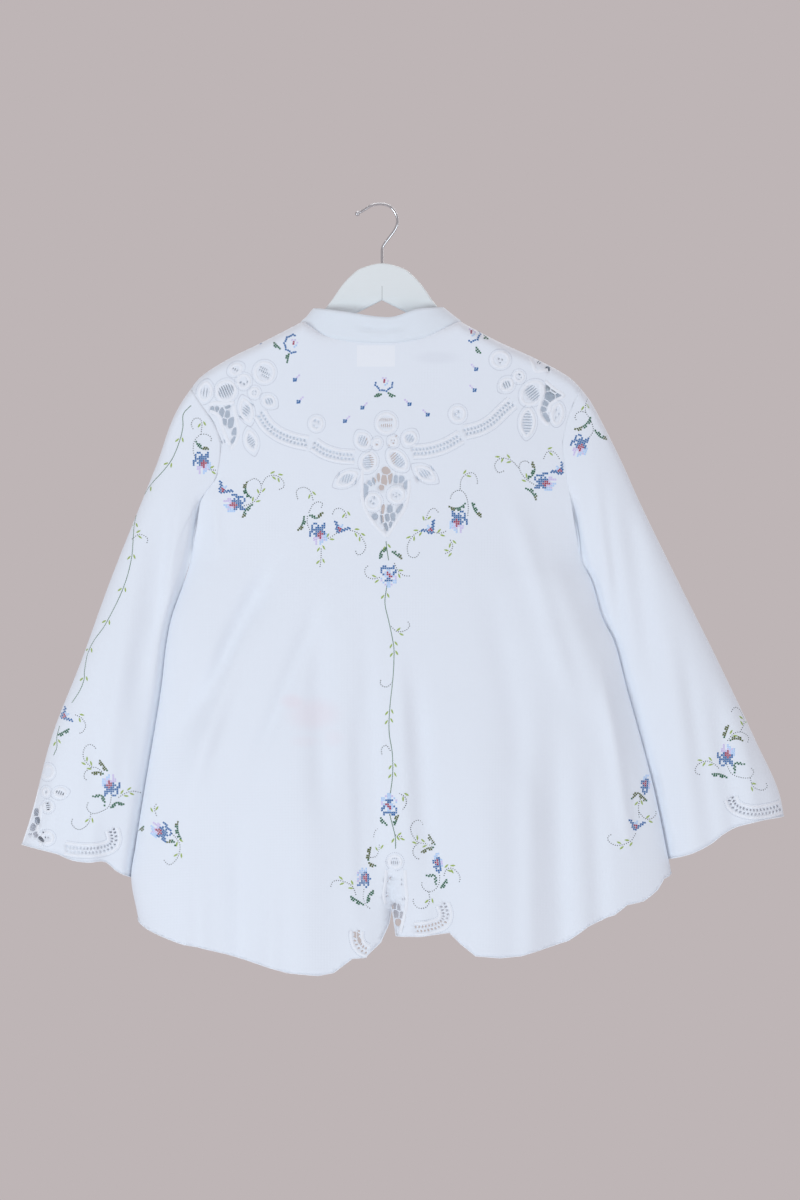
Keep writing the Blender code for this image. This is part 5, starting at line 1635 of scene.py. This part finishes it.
def leaf_pairs(work, line, shares):
    """Small leaves on both sides of a tendril, a little apart from it."""
    for share in shares:
        i = min(int(share * (len(line) - 1)), len(line) - 2)
        along = (line[i + 1] - line[i]).normalized()
        for side in (-1, 1):
            spot = line[i] + crosswise(along) * side * LEAF_AWAY + along * (side * LEAF_FORWARD)
            turn = atan2(along.y, along.x) + side * LEAF_SPLAY
            work.leaf(spot, *SMALL_LEAF, turn, "leaf green thread")


def embroider(work, part):
    """Sews all motifs of one panel."""
    blooms, leaves, tendrils, stems, wreaths, florets = PANELS[part]
    for tendril in tendrils:
        line = photo_curve(tendril.points, RUN_PITCH)
        work.running(line, RUN_STITCH, RUN_WIDTH, "tendril thread")
        leaf_pairs(work, line, tendril.leaves)
    for stem in stems:
        line = photo_curve(stem.points, RUN_PITCH)
        for a, b in zip(line, line[1:]):
            way = (b - a).normalized()
            across = crosswise(way) * STEM_SLANT
            ends = a - across, a + way * STEM_STITCH + across
            work.stitch(*ends, STEM_WIDTH, STEM_HEIGHT, "stem green thread")
        leaf_pairs(work, line, stem.leaves)
    for leaf in leaves:
        sew_dark_leaf(work, leaf)
    for bloom in blooms:
        sew_bloom(work, bloom)
    for wreath in wreaths:
        sew_wreath(work, wreath)
    for floret in florets:
        x, drop = from_photo(floret.px, floret.py)
        for across, along in FLORET_CROSSES:
            work.cross(x + across * FLORET_STEP, drop + along * FLORET_STEP, 0.0, "dark blue thread")
        for away in FLORET_TIPS:
            work.cross(x + floret.side * away, drop - away, 0.0, "lilac thread")
    return work


def sew_wreath(work, wreath):
    """A half-wreath of blue crosses round a red centre."""
    x0, drop0 = from_photo(wreath.px, wreath.py)
    count = int(radians(wreath.sweep) * WREATH_RADIUS / CROSS_PITCH)
    for n in range(count + 1):
        angle = radians(wreath.start + wreath.sweep * n / count)
        radius = WREATH_RADIUS + (0.9 if n % 3 == 1 else -0.3)
        work.cross(x0 + radius * cos(angle), drop0 - radius * sin(angle), 0.0, "dark blue thread")
    for across, along, kind in WREATH_CENTRE:
        work.cross(x0 + across, drop0 + along, 0.0, kind)


def embroidery_jobs():
    """The face, name and panel of each piece of embroidery."""
    return (
        (BackFace(), "embroidery_back", "back"),
        (MeshFace(bpy.data.objects["sleeve_left_cloth"]), "embroidery_sleeve_left", "left"),
        (MeshFace(bpy.data.objects["sleeve_right_cloth"]), "embroidery_sleeve_right", "right"),
    )


# Hanger

HANGER_STEP = 3.0
TIP_STEP = 12
TIP_START = 70
TIP_END = -111
EDGE_ROUND = 2.4
SHARP_EDGE = 32
JOINT_TOP = 97.0
JOINT_WIDTH = 0.5
JOINT_PROUD = 0.1
HOOK_STEP = 2.0
# The shank is straight up to this far under its bend, and starts to lean close under it
SHANK_END = 6.0
SHANK_LEAN = Point(0.2, 0.6)
BALL_STEP = 12
# A rolled hem round the back, the fronts and the cuffs
HEM_ROLL = 1.3
HEM_STEP = 4.0
HEM_COUNT = 60
CUFF_STEP = 6.0

# The blank label, inside the back neck
LABEL_LEFT = -30.0
LABEL_RIGHT = 15.6
LABEL_TOP = 170.5
LABEL_BOTTOM = 195.8
LABEL_INSIDE = 0.9
LABEL_COLUMNS = 16
LABEL_ROWS = 9
LABEL_THICK = 0.3


def hanger_top_line(reach):
    """One arm's upper edge as a smooth line from the crown, then its rounded tip and its lower edge."""
    start = HANGER_TOP[-1]
    crown = [(-HANGER_TOP[1].x, HANGER_TOP[1].drop)] + [tuple(p) for p in HANGER_TOP]
    line = [(0.0, HANGER_TOP[0].drop)] + [(p.x, p.y) for p in curve_through(crown, HANGER_STEP) if p.x > 1]
    radius = HANGER_TIP_HEIGHT / 2
    centre_drop = start.drop + (reach - start.x) * HANGER_TIP_SLOPE + radius + HANGER_TIP_DIP
    for degrees in range(TIP_START, TIP_END, -TIP_STEP):
        angle = radians(degrees)
        line.append((reach + radius * HANGER_TIP_NARROW * cos(angle), centre_drop - radius * sin(angle)))
    line.append(tuple(HANGER_NOTCH_FOOT))
    return line


def named(name):
    """Names the object that was made last, and its data."""
    item = bpy.context.object
    item.name = name
    item.data.name = name
    return item


def curve_object(name, points, closed, **settings):
    """A poly curve from (x, y, z, radius) in millimetres, turned to a closed mesh."""
    curve = bpy.data.curves.new(name, "CURVE")
    curve.dimensions = "3D"
    for key, value in settings.items():
        setattr(curve, key, value)
    spline = curve.splines.new("POLY")
    spline.points.add(len(points) - 1)
    for point, (x, y, z, radius) in zip(spline.points, points):
        point.co = (x * MM, y * MM, z * MM, 1)
        point.radius = radius
    spline.use_cyclic_u = closed
    item = bpy.data.objects.new(name, curve)
    bpy.context.scene.collection.objects.link(item)
    bpy.ops.object.select_all(action="DESELECT")
    item.select_set(True)
    bpy.context.view_layer.objects.active = item
    bpy.ops.object.convert(target="MESH")
    item = named(name)
    item.select_set(False)
    return item


def wire(name, points, thickness, resolution):
    """A round wire along (x, y, z, radius)."""
    round_wire = {"bevel_depth": thickness / 2 * MM, "bevel_resolution": resolution, "use_fill_caps": True}
    item = curve_object(name, points, False, **round_wire)
    face_out(item)
    smooth(item)
    return item


def make_hanger():
    """The flat wooden bar: its outline filled, with rounded edges."""
    right = hanger_top_line(HANGER_REACH_RIGHT)
    left = hanger_top_line(HANGER_REACH_LEFT)
    outline = right + [(0.0, HANGER_NOTCH)] + [(-x, drop) for x, drop in reversed(left[1:])]
    item = curve_object(
        "hanger_wood",
        [(x, -drop, 0, 1) for x, drop in outline],
        True,
        dimensions="2D",
        fill_mode="BOTH",
        extrude=(HANGER_THICK / 2 - EDGE_ROUND) * MM,
        bevel_depth=EDGE_ROUND * MM,
        bevel_resolution=3,
        offset=-EDGE_ROUND * MM,
    )
    for vert in item.data.vertices:
        x, z, y = vert.co
        vert.co = (x, -y, z)
    face_out(item)
    bpy.context.view_layer.objects.active = item
    item.select_set(True)
    bpy.ops.object.shade_smooth_by_angle(angle=radians(SHARP_EDGE))
    item.select_set(False)
    return item


def make_joint():
    """The dark line where the hanger's two arms meet above the notch."""
    bpy.ops.mesh.primitive_cube_add(size=1, location=(0, 0, -(JOINT_TOP + HANGER_NOTCH) / 2 * MM))
    item = named("hanger_joint")
    size = (JOINT_WIDTH * MM, (HANGER_THICK + JOINT_PROUD) * MM, (HANGER_NOTCH - JOINT_TOP - 1.0) * MM)
    bpy.ops.transform.resize(value=size)
    bpy.ops.object.transform_apply(location=True, rotation=True, scale=True)
    item.select_set(False)
    return item


def make_hook():
    """The wire hook with a small ball at its end."""
    foot, bend = HOOK_PATH[:2]
    bow = (bend.x + SHANK_LEAN.x, bend.drop + SHANK_LEAN.drop)
    straight = [tuple(foot), (bend.x, bend.drop + SHANK_END), bow]
    line = curve_through(straight + [tuple(p) for p in HOOK_PATH[2:]], HOOK_STEP)
    points = [(p.x, 0, -p.y, 1.0) for p in line]
    last, before = line[-1], line[-4]
    step = (last - before).normalized()
    for degrees in range(2 * BALL_STEP, 181, BALL_STEP):
        radius = max(sin(radians(degrees)), 0.1) * BALL / WIRE
        along = BALL / 2 * (1 - cos(radians(degrees)))
        if radius > 1.0 or degrees > 90:
            points.append((last.x + step.x * along, 0, -(last.y + step.y * along), radius))
    return wire("hook_wire", points, WIRE, 5)


def make_label():
    """A thin blank tape that follows the inside of the back."""
    verts = []
    for i in range(LABEL_COLUMNS):
        x = LABEL_LEFT + (LABEL_RIGHT - LABEL_LEFT) * i / (LABEL_COLUMNS - 1)
        for k in range(LABEL_ROWS):
            drop = LABEL_TOP + (LABEL_BOTTOM - LABEL_TOP) * k / (LABEL_ROWS - 1)
            verts.append(place(x, cloth_back_y(x, drop) + LABEL_INSIDE, drop))
    return build_mesh("label_sheet", verts, grid_faces(LABEL_COLUMNS, LABEL_ROWS))


def hem_roll(name, line):
    """A thin rolled edge along places in space."""
    return wire(name, [(p.x, p.y, p.z, 1.0) for p in line], HEM_ROLL, 1)


def back_hem_line():
    return [back_to_space(u, v) for u, v in resample(flat_hem(), HEM_STEP)]


def front_hem_line(side):
    shares = [sin(n / HEM_COUNT * pi / 2) for n in range(HEM_COUNT + 1)]
    return [front_place(side, share, front_hem_drop(side, share)) for share in shares]


def cuff_line(side):
    count = int(2 * ROUND_SCALE / CUFF_STEP)
    return [sleeve_to_space(side, 2 * ROUND_SCALE * n / count, DOWN_SCALE) for n in range(count + 1)]


# Materials

CLOTH_COLOURS = {
    "cotton": "E0E8F2",
    "collar": "DEE8F2",
    "tape": "E6ECF4",
    "label": "E6EAF0",
    "wood": "E0E8EB",
    "joint": "8E9496",
    "chrome": "C9CCD0",
}
THREADS = {
    "dark blue thread": "0A63A6",
    "light blue thread": "B4D2F6",
    "lilac thread": "CFC6EC",
    "red thread": "A0054A",
    "dark green thread": "005F3A",
    "olive thread": "4E5C14",
    "leaf green thread": "9DB661",
    "stem green thread": "64836F",
    "tendril thread": "34403C",
    # Grey for the dotted outlines beside the lace tapes: painted shade of the tiny holes there
    "painted shade dots": "A9AFBE",
}
THREAD_NAMES = list(THREADS)
# Weaves: the threads' spacing in millimetres, how strong they show, and their depth in millimetres
COTTON_WEAVE = (0.9, 0.35, 0.12)
TAPE_WEAVE = (0.8, 0.6, 0.15)
# Painted wood: its grain's scale along each axis, and how strong and deep it shows
GRAIN_SCALE = (18.0, 260.0, 420.0)
GRAIN = (0.3, 0.4)
# Where a patch's edge starts and ends, as shares of its half-size
SQUARE_EDGE = (1.03, 0.97)
SOFT_EDGE = (1.3, 0.2)


def linear(hex_colour):
    """An sRGB hex colour as Blender's linear colour."""
    values = [int(hex_colour[i : i + 2], 16) / 255 for i in (0, 2, 4)]
    return tuple(v / 12.92 if v <= 0.04045 else ((v + 0.055) / 1.055) ** 2.4 for v in values) + (1.0,)


def add_node(material, kind, label, links=(), operation=None, **inputs):
    """Adds a node, sets its unlinked inputs by name, and links others to the sockets given."""
    tree = material.node_tree
    node = tree.nodes.new("ShaderNode" + kind)
    node.label = label
    if operation:
        node.operation = operation
    for name, value in inputs.items():
        node.inputs[name.replace("_", " ")].default_value = value
    for name, source in links:
        tree.links.new(source, node.inputs[name])
    return node


def new_material(name, hex_colour, roughness, sheen=0.0, metallic=0.0):
    material = bpy.data.materials.new(name)
    material.use_nodes = True
    shader = material.node_tree.nodes["Principled BSDF"]
    shader.inputs["Base Color"].default_value = linear(hex_colour)
    shader.inputs["Roughness"].default_value = roughness
    shader.inputs["Sheen Weight"].default_value = sheen
    shader.inputs["Metallic"].default_value = metallic
    material.diffuse_color = linear(hex_colour)
    return material


def link_shader(material, name, source):
    tree = material.node_tree
    tree.links.new(source, tree.nodes["Principled BSDF"].inputs[name])


def add_bump(material, label, height, strength, depth_mm):
    """Raises the surface by a node's values."""
    bump = add_node(material, "Bump", label, [("Height", height)], Strength=strength, Distance=depth_mm * MM)
    link_shader(material, "Normal", bump.outputs["Normal"])


def weave_bump(material, threads_mm, strength, depth_mm):
    """Plain weave as fine crossing ribs, in millimetres of the object's own space."""
    place_of = add_node(material, "TexCoord", "place")
    vector = [("Vector", place_of.outputs["Object"])]
    scale = 1000.0 / (threads_mm * 20.0) * pi
    ribs = []
    for axis, direction in (("across", "X"), ("down", "Z")):
        rib = add_node(
            material, "TexWave", f"threads {axis}", vector, Scale=scale, Distortion=0.6, Detail=1.0
        )
        rib.bands_direction = direction
        ribs.append(rib.outputs["Fac"])
    weave = add_node(material, "Math", "weave", enumerate(ribs), "ADD")
    add_bump(material, "weave bump", weave.outputs["Value"], strength, depth_mm)
    return place_of


# Soft patches on the back of the cloth, real stains and painted light: middle, half-width and half-height,
# strength, colour, and whether the patch is square
Patch = namedtuple("Patch", "x drop width height strength colour square")
PATCHES = rows_of(Patch, [
    # A square of painted light where the label lies behind the cloth, and a darker band of painted shade
    # below the collar, right of the label
    (-7.2, 183.2, 22.8, 12.7, 0.3, "F4F7FA", True), (66, 185, 30, 9, 0.35, "D3DAE6", False),
    # Faint pink stains in the cloth
    (-82, 612, 36, 22, 0.16, "E8C6CF", False), (-108, 596, 16, 10, 0.16, "E8C6CF", False),
    (-58, 640, 14, 12, 0.08, "E8C6CF", False), (-92, 644, 20, 8, 0.07, "E8C6CF", False),
])


def add_patch(material, place_of, patch):
    """Adds a mix of one soft patch's colour, whose first colour socket is left open."""
    offset = add_node(material, "VectorMath", "patch place", [(0, place_of.outputs["Object"])], "SUBTRACT")
    offset.inputs[1].default_value = (patch.x * MM, 0, -patch.drop * MM)
    scaled = add_node(material, "VectorMath", "patch size", [(0, offset.outputs["Vector"])], "MULTIPLY")
    scaled.inputs[1].default_value = (1 / (patch.width * MM), 0, 1 / (patch.height * MM))
    vector = [(0, scaled.outputs["Vector"])]
    if patch.square:
        sides = add_node(material, "VectorMath", "patch sides", vector, "ABSOLUTE")
        axes = add_node(material, "SeparateXYZ", "patch axes", [(0, sides.outputs["Vector"])])
        pair = [(0, axes.outputs["X"]), (1, axes.outputs["Z"])]
        length = add_node(material, "Math", "patch distance", pair, "MAXIMUM")
    else:
        length = add_node(material, "VectorMath", "patch distance", vector, "LENGTH")
    start, end = SQUARE_EDGE if patch.square else SOFT_EDGE
    value = [("Value", length.outputs["Value"])]
    fade = add_node(
        material, "MapRange", "patch edge", value, From_Min=start, From_Max=end, To_Max=patch.strength
    )
    fade.interpolation_type = "SMOOTHERSTEP"
    mix = add_node(material, "Mix", "patch")
    mix.data_type = "RGBA"
    material.node_tree.links.new(fade.outputs["Result"], mix.inputs["Factor"])
    first, second = [s for s in mix.inputs if s.name in ("A", "B") and s.type == "RGBA"]
    second.default_value = linear(patch.colour)
    return first, [s for s in mix.outputs if s.type == "RGBA"][0]


def cotton_material(name, colour_hex, patches=()):
    cotton = new_material(name, colour_hex, 0.88, sheen=0.4)
    place_of = weave_bump(cotton, *COTTON_WEAVE)
    before = None
    for patch in patches:
        first, mixed = add_patch(cotton, place_of, patch)
        if before:
            cotton.node_tree.links.new(before, first)
        else:
            first.default_value = linear(colour_hex)
        before = mixed
    if before:
        link_shader(cotton, "Base Color", before)
    return cotton


def painted_wood():
    """White satin paint with the faint grain and brush marks of the wood under it."""
    wood = new_material("painted_wood", CLOTH_COLOURS["wood"], 0.42)
    place_of = add_node(wood, "TexCoord", "place")
    stretch = add_node(wood, "VectorMath", "along the grain", [(0, place_of.outputs["Object"])], "MULTIPLY")
    stretch.inputs[1].default_value = GRAIN_SCALE
    vector = [("Vector", stretch.outputs["Vector"])]
    grain = add_node(wood, "TexNoise", "grain", vector, Scale=1.0, Detail=3.0)
    add_bump(wood, "grain bump", grain.outputs["Fac"], *GRAIN)
    return wood


def make_materials(looks):
    """All materials by name, each named for what it is."""
    made = {}
    # Washed plain-woven cotton, soft and a little blue from bleaching
    made["cotton"] = cotton_material("bleached_cotton", looks.cotton_hex)
    # The same cotton with its faint stains, painted light where the label lies behind it, and a band of
    # painted shade below the collar
    made["back cotton"] = cotton_material("stained_cotton_with_painted_light", looks.cotton_hex, PATCHES)
    # The same cotton, doubled and stitched as a stand
    made["collar"] = cotton_material("collar_cotton", CLOTH_COLOURS["collar"])
    # Woven tape and needle-made bars of the lace
    made["tape"] = new_material("lace_tape", CLOTH_COLOURS["tape"], 0.8, sheen=0.2)
    weave_bump(made["tape"], *TAPE_WEAVE)
    # Smooth woven label
    made["label"] = new_material("label_tape", CLOTH_COLOURS["label"], 0.6, sheen=0.1)
    # Satin white paint on wood
    made["wood"] = painted_wood()
    # Shadow in the joint of the two arms
    made["joint"] = new_material("wood_joint", CLOTH_COLOURS["joint"], 0.8)
    # Bright plated wire
    made["chrome"] = new_material("chrome_wire", CLOTH_COLOURS["chrome"], 0.16, metallic=1.0)
    # Stranded embroidery cotton, and grey dots of painted shade beside the lace tapes
    for name, colour in THREADS.items():
        made[name] = new_material(name.replace(" ", "_"), colour, 0.62, sheen=0.25)
    return made


def dress(item, materials_of, *names):
    """Gives an object its materials in order."""
    item.data.materials.clear()
    for name in names:
        item.data.materials.append(materials_of[name])


# Studio: its sizes are metres, and the lens and sensor are millimetres

BACKDROP = "BEB5B6"
FLOOR_COLOUR = "F0E9EA"
FLOOR_DROP = 3.0
FLOOR_RADIUS = 9.0
FRAME_HEIGHT = 1.44
LENS = 120.0
SENSOR = 36.0
CLOTH_PLANE = -0.02
FRAME_X = 0.0216
FRAME_Z = -0.4754
LIGHT_AIM = (0.0, 0.0, -0.5)
COOL_LIGHT = "ECF9FF"
WHITE_LIGHT = "FFFFFF"
BACK_WATTS = 30.0
TOP_WATTS = 8.0
# Light that has come through the thin cloth and falls on the inside of the fronts and the left cuff:
# middle, width and height in millimetres
Glow = namedtuple("Glow", "name x y drop width height")
GLOWS = rows_of(Glow, [
    ("glow_chest", 0, 2, 312, 500, 260), ("glow_hem", 20, 2, 850, 110, 110),
    ("glow_cuff", -406, 4, 748, 60, 90),
])
GLOW_STRENGTH = 0.95


def area_light(name, place_of, size, watts, colour):
    """A soft square light turned to the garment."""
    bpy.ops.object.light_add(type="AREA", location=place_of)
    item = named(name)
    item.data.size = size
    item.data.energy = watts
    item.data.color = linear(colour)[:3]
    item.rotation_euler = (Vector(LIGHT_AIM) - Vector(place_of)).to_track_quat("-Z", "Y").to_euler()
    return item


def glow(patch):
    """A faint rectangular light inside the garment that shines to its front."""
    bpy.ops.object.light_add(type="AREA", location=(patch.x * MM, patch.y * MM, -patch.drop * MM))
    item = named(patch.name)
    item.data.shape = "RECTANGLE"
    item.data.size = patch.width * MM
    item.data.size_y = patch.height * MM
    item.data.energy = GLOW_STRENGTH * patch.width * MM * patch.height * MM
    item.rotation_euler = Vector((0, 1, 0)).to_track_quat("-Z", "Z").to_euler()
    return item


def make_stage(looks):
    scene = bpy.context.scene
    world = bpy.data.worlds.new("studio")
    world.use_nodes = True
    background = world.node_tree.nodes["Background"]
    background.inputs["Color"].default_value = linear(BACKDROP)
    background.inputs["Strength"].default_value = 1.0
    scene.world = world
    scene.view_settings.view_transform = "Standard"

    where = (0, 0, -FLOOR_DROP)
    bpy.ops.mesh.primitive_circle_add(vertices=64, radius=FLOOR_RADIUS, fill_type="NGON", location=where)
    floor = bpy.context.object
    floor.name = "studio_floor"
    floor.data.materials.append(new_material("pale_floor", FLOOR_COLOUR, 0.9))

    lights = [
        area_light("key_light", (-2.5, -2.6, -1.2), 1.1, looks.key_watts, COOL_LIGHT),
        area_light("fill_light", (2.3, -3.0, -1.3), 1.8, looks.fill_watts, COOL_LIGHT),
        area_light("top_light", (0.1, -0.3, 1.6), 1.6, TOP_WATTS, WHITE_LIGHT),
        area_light("back_light", (0.6, 2.6, 0.8), 2.0, BACK_WATTS, WHITE_LIGHT),
    ]
    lights += [glow(patch) for patch in GLOWS]
    distance = FRAME_HEIGHT * LENS / SENSOR
    where = (FRAME_X, CLOTH_PLANE - distance, FRAME_Z)
    bpy.ops.object.camera_add(location=where, rotation=(radians(90), 0, 0))
    camera = bpy.context.object
    camera.name = "photo_camera"
    camera.data.lens = LENS
    camera.data.sensor_fit = "VERTICAL"
    camera.data.sensor_height = SENSOR
    camera.data.sensor_width = SENSOR
    camera.data.clip_end = 40.0
    scene.camera = camera


# Settings, operators and panel


class JacketCloth(bpy.types.PropertyGroup):
    """Sizes of the cloth."""

    thickness: bpy.props.FloatProperty(
        name="Cloth thickness",
        description="Thickness of the cotton in millimetres",
        default=0.5,
        min=0.2,
        max=1.0,
    )
    back_step: bpy.props.FloatProperty(
        name="Back mesh",
        description="Distance between the back's mesh points in millimetres",
        default=5.0,
        min=3.0,
        max=12.0,
    )
    sleeve_step: bpy.props.FloatProperty(
        name="Sleeve mesh",
        description="Distance between the sleeves' mesh points in millimetres",
        default=6.5,
        min=4.0,
        max=14.0,
    )
    collar_thickness: bpy.props.FloatProperty(
        name="Collar thickness",
        description="Thickness of the doubled collar in millimetres",
        default=1.1,
        min=0.6,
        max=2.0,
    )


class JacketLooks(bpy.types.PropertyGroup):
    """Colours and light."""

    cotton_hex: bpy.props.StringProperty(
        name="Cotton colour",
        description="Colour of the bleached cotton as six hex digits",
        default=CLOTH_COLOURS["cotton"],
    )
    key_watts: bpy.props.FloatProperty(
        name="Key light",
        description="Power of the main light in watts",
        default=53.0,
        min=0.0,
        unit="POWER",
    )
    fill_watts: bpy.props.FloatProperty(
        name="Fill light",
        description="Power of the soft fill light in watts",
        default=38.0,
        min=0.0,
        unit="POWER",
    )


MATERIALS = {}


def materials():
    """The materials, made once."""
    if not MATERIALS:
        MATERIALS.update(make_materials(bpy.context.scene.jacket_looks))
    return MATERIALS


def settle(item, slot, look, *nodes):
    """Gives a piece its look and its body, and hides the CAD nodes it stands for; the slot argument is not
    used.
    """
    dress(item, materials(), look)
    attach(item, "root")
    if nodes:
        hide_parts(*nodes)


class JACKET_OT_back(bpy.types.Operator):
    """Make the back from one sheet of the tablecloth, with its lace gaps"""

    bl_idname = "jacket.back"
    bl_label = "Back"

    def execute(self, context):
        cloth = context.scene.jacket_cloth
        item = make_back(back_holes(), cloth.back_step)
        thicken(item, cloth.thickness)
        settle(item, "cotton", "back cotton", "back")
        return {"FINISHED"}


class JACKET_OT_fronts(bpy.types.Operator):
    """Make the two plain fronts"""

    bl_idname = "jacket.fronts"
    bl_label = "Fronts"

    def execute(self, context):
        cloth = context.scene.jacket_cloth
        for side, node in ((-1, "front_left"), (1, "front_right")):
            item = make_front(side)
            thicken(item, cloth.thickness)
            settle(item, "cotton", "cotton", node)
        return {"FINISHED"}


class JACKET_OT_sleeves(bpy.types.Operator):
    """Make the two bell sleeves as tubes of cloth"""

    bl_idname = "jacket.sleeves"
    bl_label = "Sleeves"

    def execute(self, context):
        cloth = context.scene.jacket_cloth
        for side, nodes in (
            (-1, ("sleeve_left_back", "sleeve_left_front")),
            (1, ("sleeve_right_back", "sleeve_right_front")),
        ):
            item = make_sleeve(side, cuff_holes(side), cloth.sleeve_step)
            thicken(item, cloth.thickness)
            settle(item, "cotton", "cotton", *nodes)
        return {"FINISHED"}


class JACKET_OT_collar(bpy.types.Operator):
    """Make the stand collar of doubled cloth"""

    bl_idname = "jacket.collar"
    bl_label = "Collar"

    def execute(self, context):
        item = make_collar()
        thicken(item, context.scene.jacket_cloth.collar_thickness)
        settle(item, "collar_cotton", "collar", "collar")
        return {"FINISHED"}


class JACKET_OT_hanger(bpy.types.Operator):
    """Make the wooden hanger and its wire hook"""

    bl_idname = "jacket.hanger"
    bl_label = "Hanger"

    def execute(self, context):
        settle(make_hanger(), "white_wood", "wood", "hanger_bar")
        settle(make_hook(), "chrome", "chrome", "hanger_hook")
        settle(make_joint(), "white_wood", "joint")
        return {"FINISHED"}


class JACKET_OT_label(bpy.types.Operator):
    """Make the blank label inside the neck"""

    bl_idname = "jacket.label"
    bl_label = "Label"

    def execute(self, context):
        item = make_label()
        thicken(item, LABEL_THICK, 0.0)
        settle(item, "label_tape", "label", "neck_label")
        return {"FINISHED"}


class JACKET_OT_hems(bpy.types.Operator):
    """Roll the hems of the body and the cuffs"""

    bl_idname = "jacket.hems"
    bl_label = "Hems"

    def execute(self, context):
        lines = {
            "hem_back": back_hem_line(),
            "hem_front_left": front_hem_line(-1),
            "hem_front_right": front_hem_line(1),
            "hem_cuff_left": cuff_line(-1),
            "hem_cuff_right": cuff_line(1),
        }
        for name, line in lines.items():
            settle(hem_roll(name, line), "cotton", "tape")
        return {"FINISHED"}


class JACKET_OT_lace(bpy.types.Operator):
    """Sew the lace tapes, braids and their dotted outlines, whose grey is painted shade of the tiny holes
    there
    """

    bl_idname = "jacket.lace"
    bl_label = "Lace"

    def execute(self, context):
        for face, name, make in lace_jobs():
            item = make(Sewing(face)).finish(name, materials(), LACE_ORDER)
            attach(item, "root")
        return {"FINISHED"}


class JACKET_OT_embroidery(bpy.types.Operator):
    """Embroider the flowers, leaves and tendrils"""

    bl_idname = "jacket.embroidery"
    bl_label = "Embroidery"

    def execute(self, context):
        for face, name, part in embroidery_jobs():
            item = embroider(Sewing(face), part).finish(name, materials(), THREAD_NAMES)
            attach(item, "root")
        return {"FINISHED"}


class JACKET_OT_stage(bpy.types.Operator):
    """Set the plain studio, its soft lights and the camera"""

    bl_idname = "jacket.stage"
    bl_label = "Studio"

    def execute(self, context):
        make_stage(context.scene.jacket_looks)
        return {"FINISHED"}


class JACKET_PT_panel(bpy.types.Panel):
    """Lists the jacket's pieces and their sizes"""

    bl_idname = "JACKET_PT_panel"
    bl_label = "Tablecloth jacket"
    bl_space_type = "VIEW_3D"
    bl_region_type = "UI"
    bl_category = "Jacket"

    def draw(self, context):
        for group in (context.scene.jacket_cloth, context.scene.jacket_looks):
            for key in group.__annotations__:
                self.layout.prop(group, key)
        for operator in OPERATORS:
            self.layout.operator(operator.bl_idname)


OPERATORS = (
    JACKET_OT_back,
    JACKET_OT_fronts,
    JACKET_OT_sleeves,
    JACKET_OT_collar,
    JACKET_OT_hanger,
    JACKET_OT_label,
    JACKET_OT_hems,
    JACKET_OT_lace,
    JACKET_OT_embroidery,
    JACKET_OT_stage,
)
CLASSES = (JacketCloth, JacketLooks) + OPERATORS + (JACKET_PT_panel,)


def register():
    for cls in CLASSES:
        bpy.utils.register_class(cls)
    bpy.types.Scene.jacket_cloth = bpy.props.PointerProperty(type=JacketCloth)
    bpy.types.Scene.jacket_looks = bpy.props.PointerProperty(type=JacketLooks)


def unregister():
    del bpy.types.Scene.jacket_looks
    del bpy.types.Scene.jacket_cloth
    for cls in reversed(CLASSES):
        bpy.utils.unregister_class(cls)


def main():
    register()
    for operator in OPERATORS:
        group, name = operator.bl_idname.split(".")
        getattr(getattr(bpy.ops, group), name)()


if __name__ == "__main__":
    main()
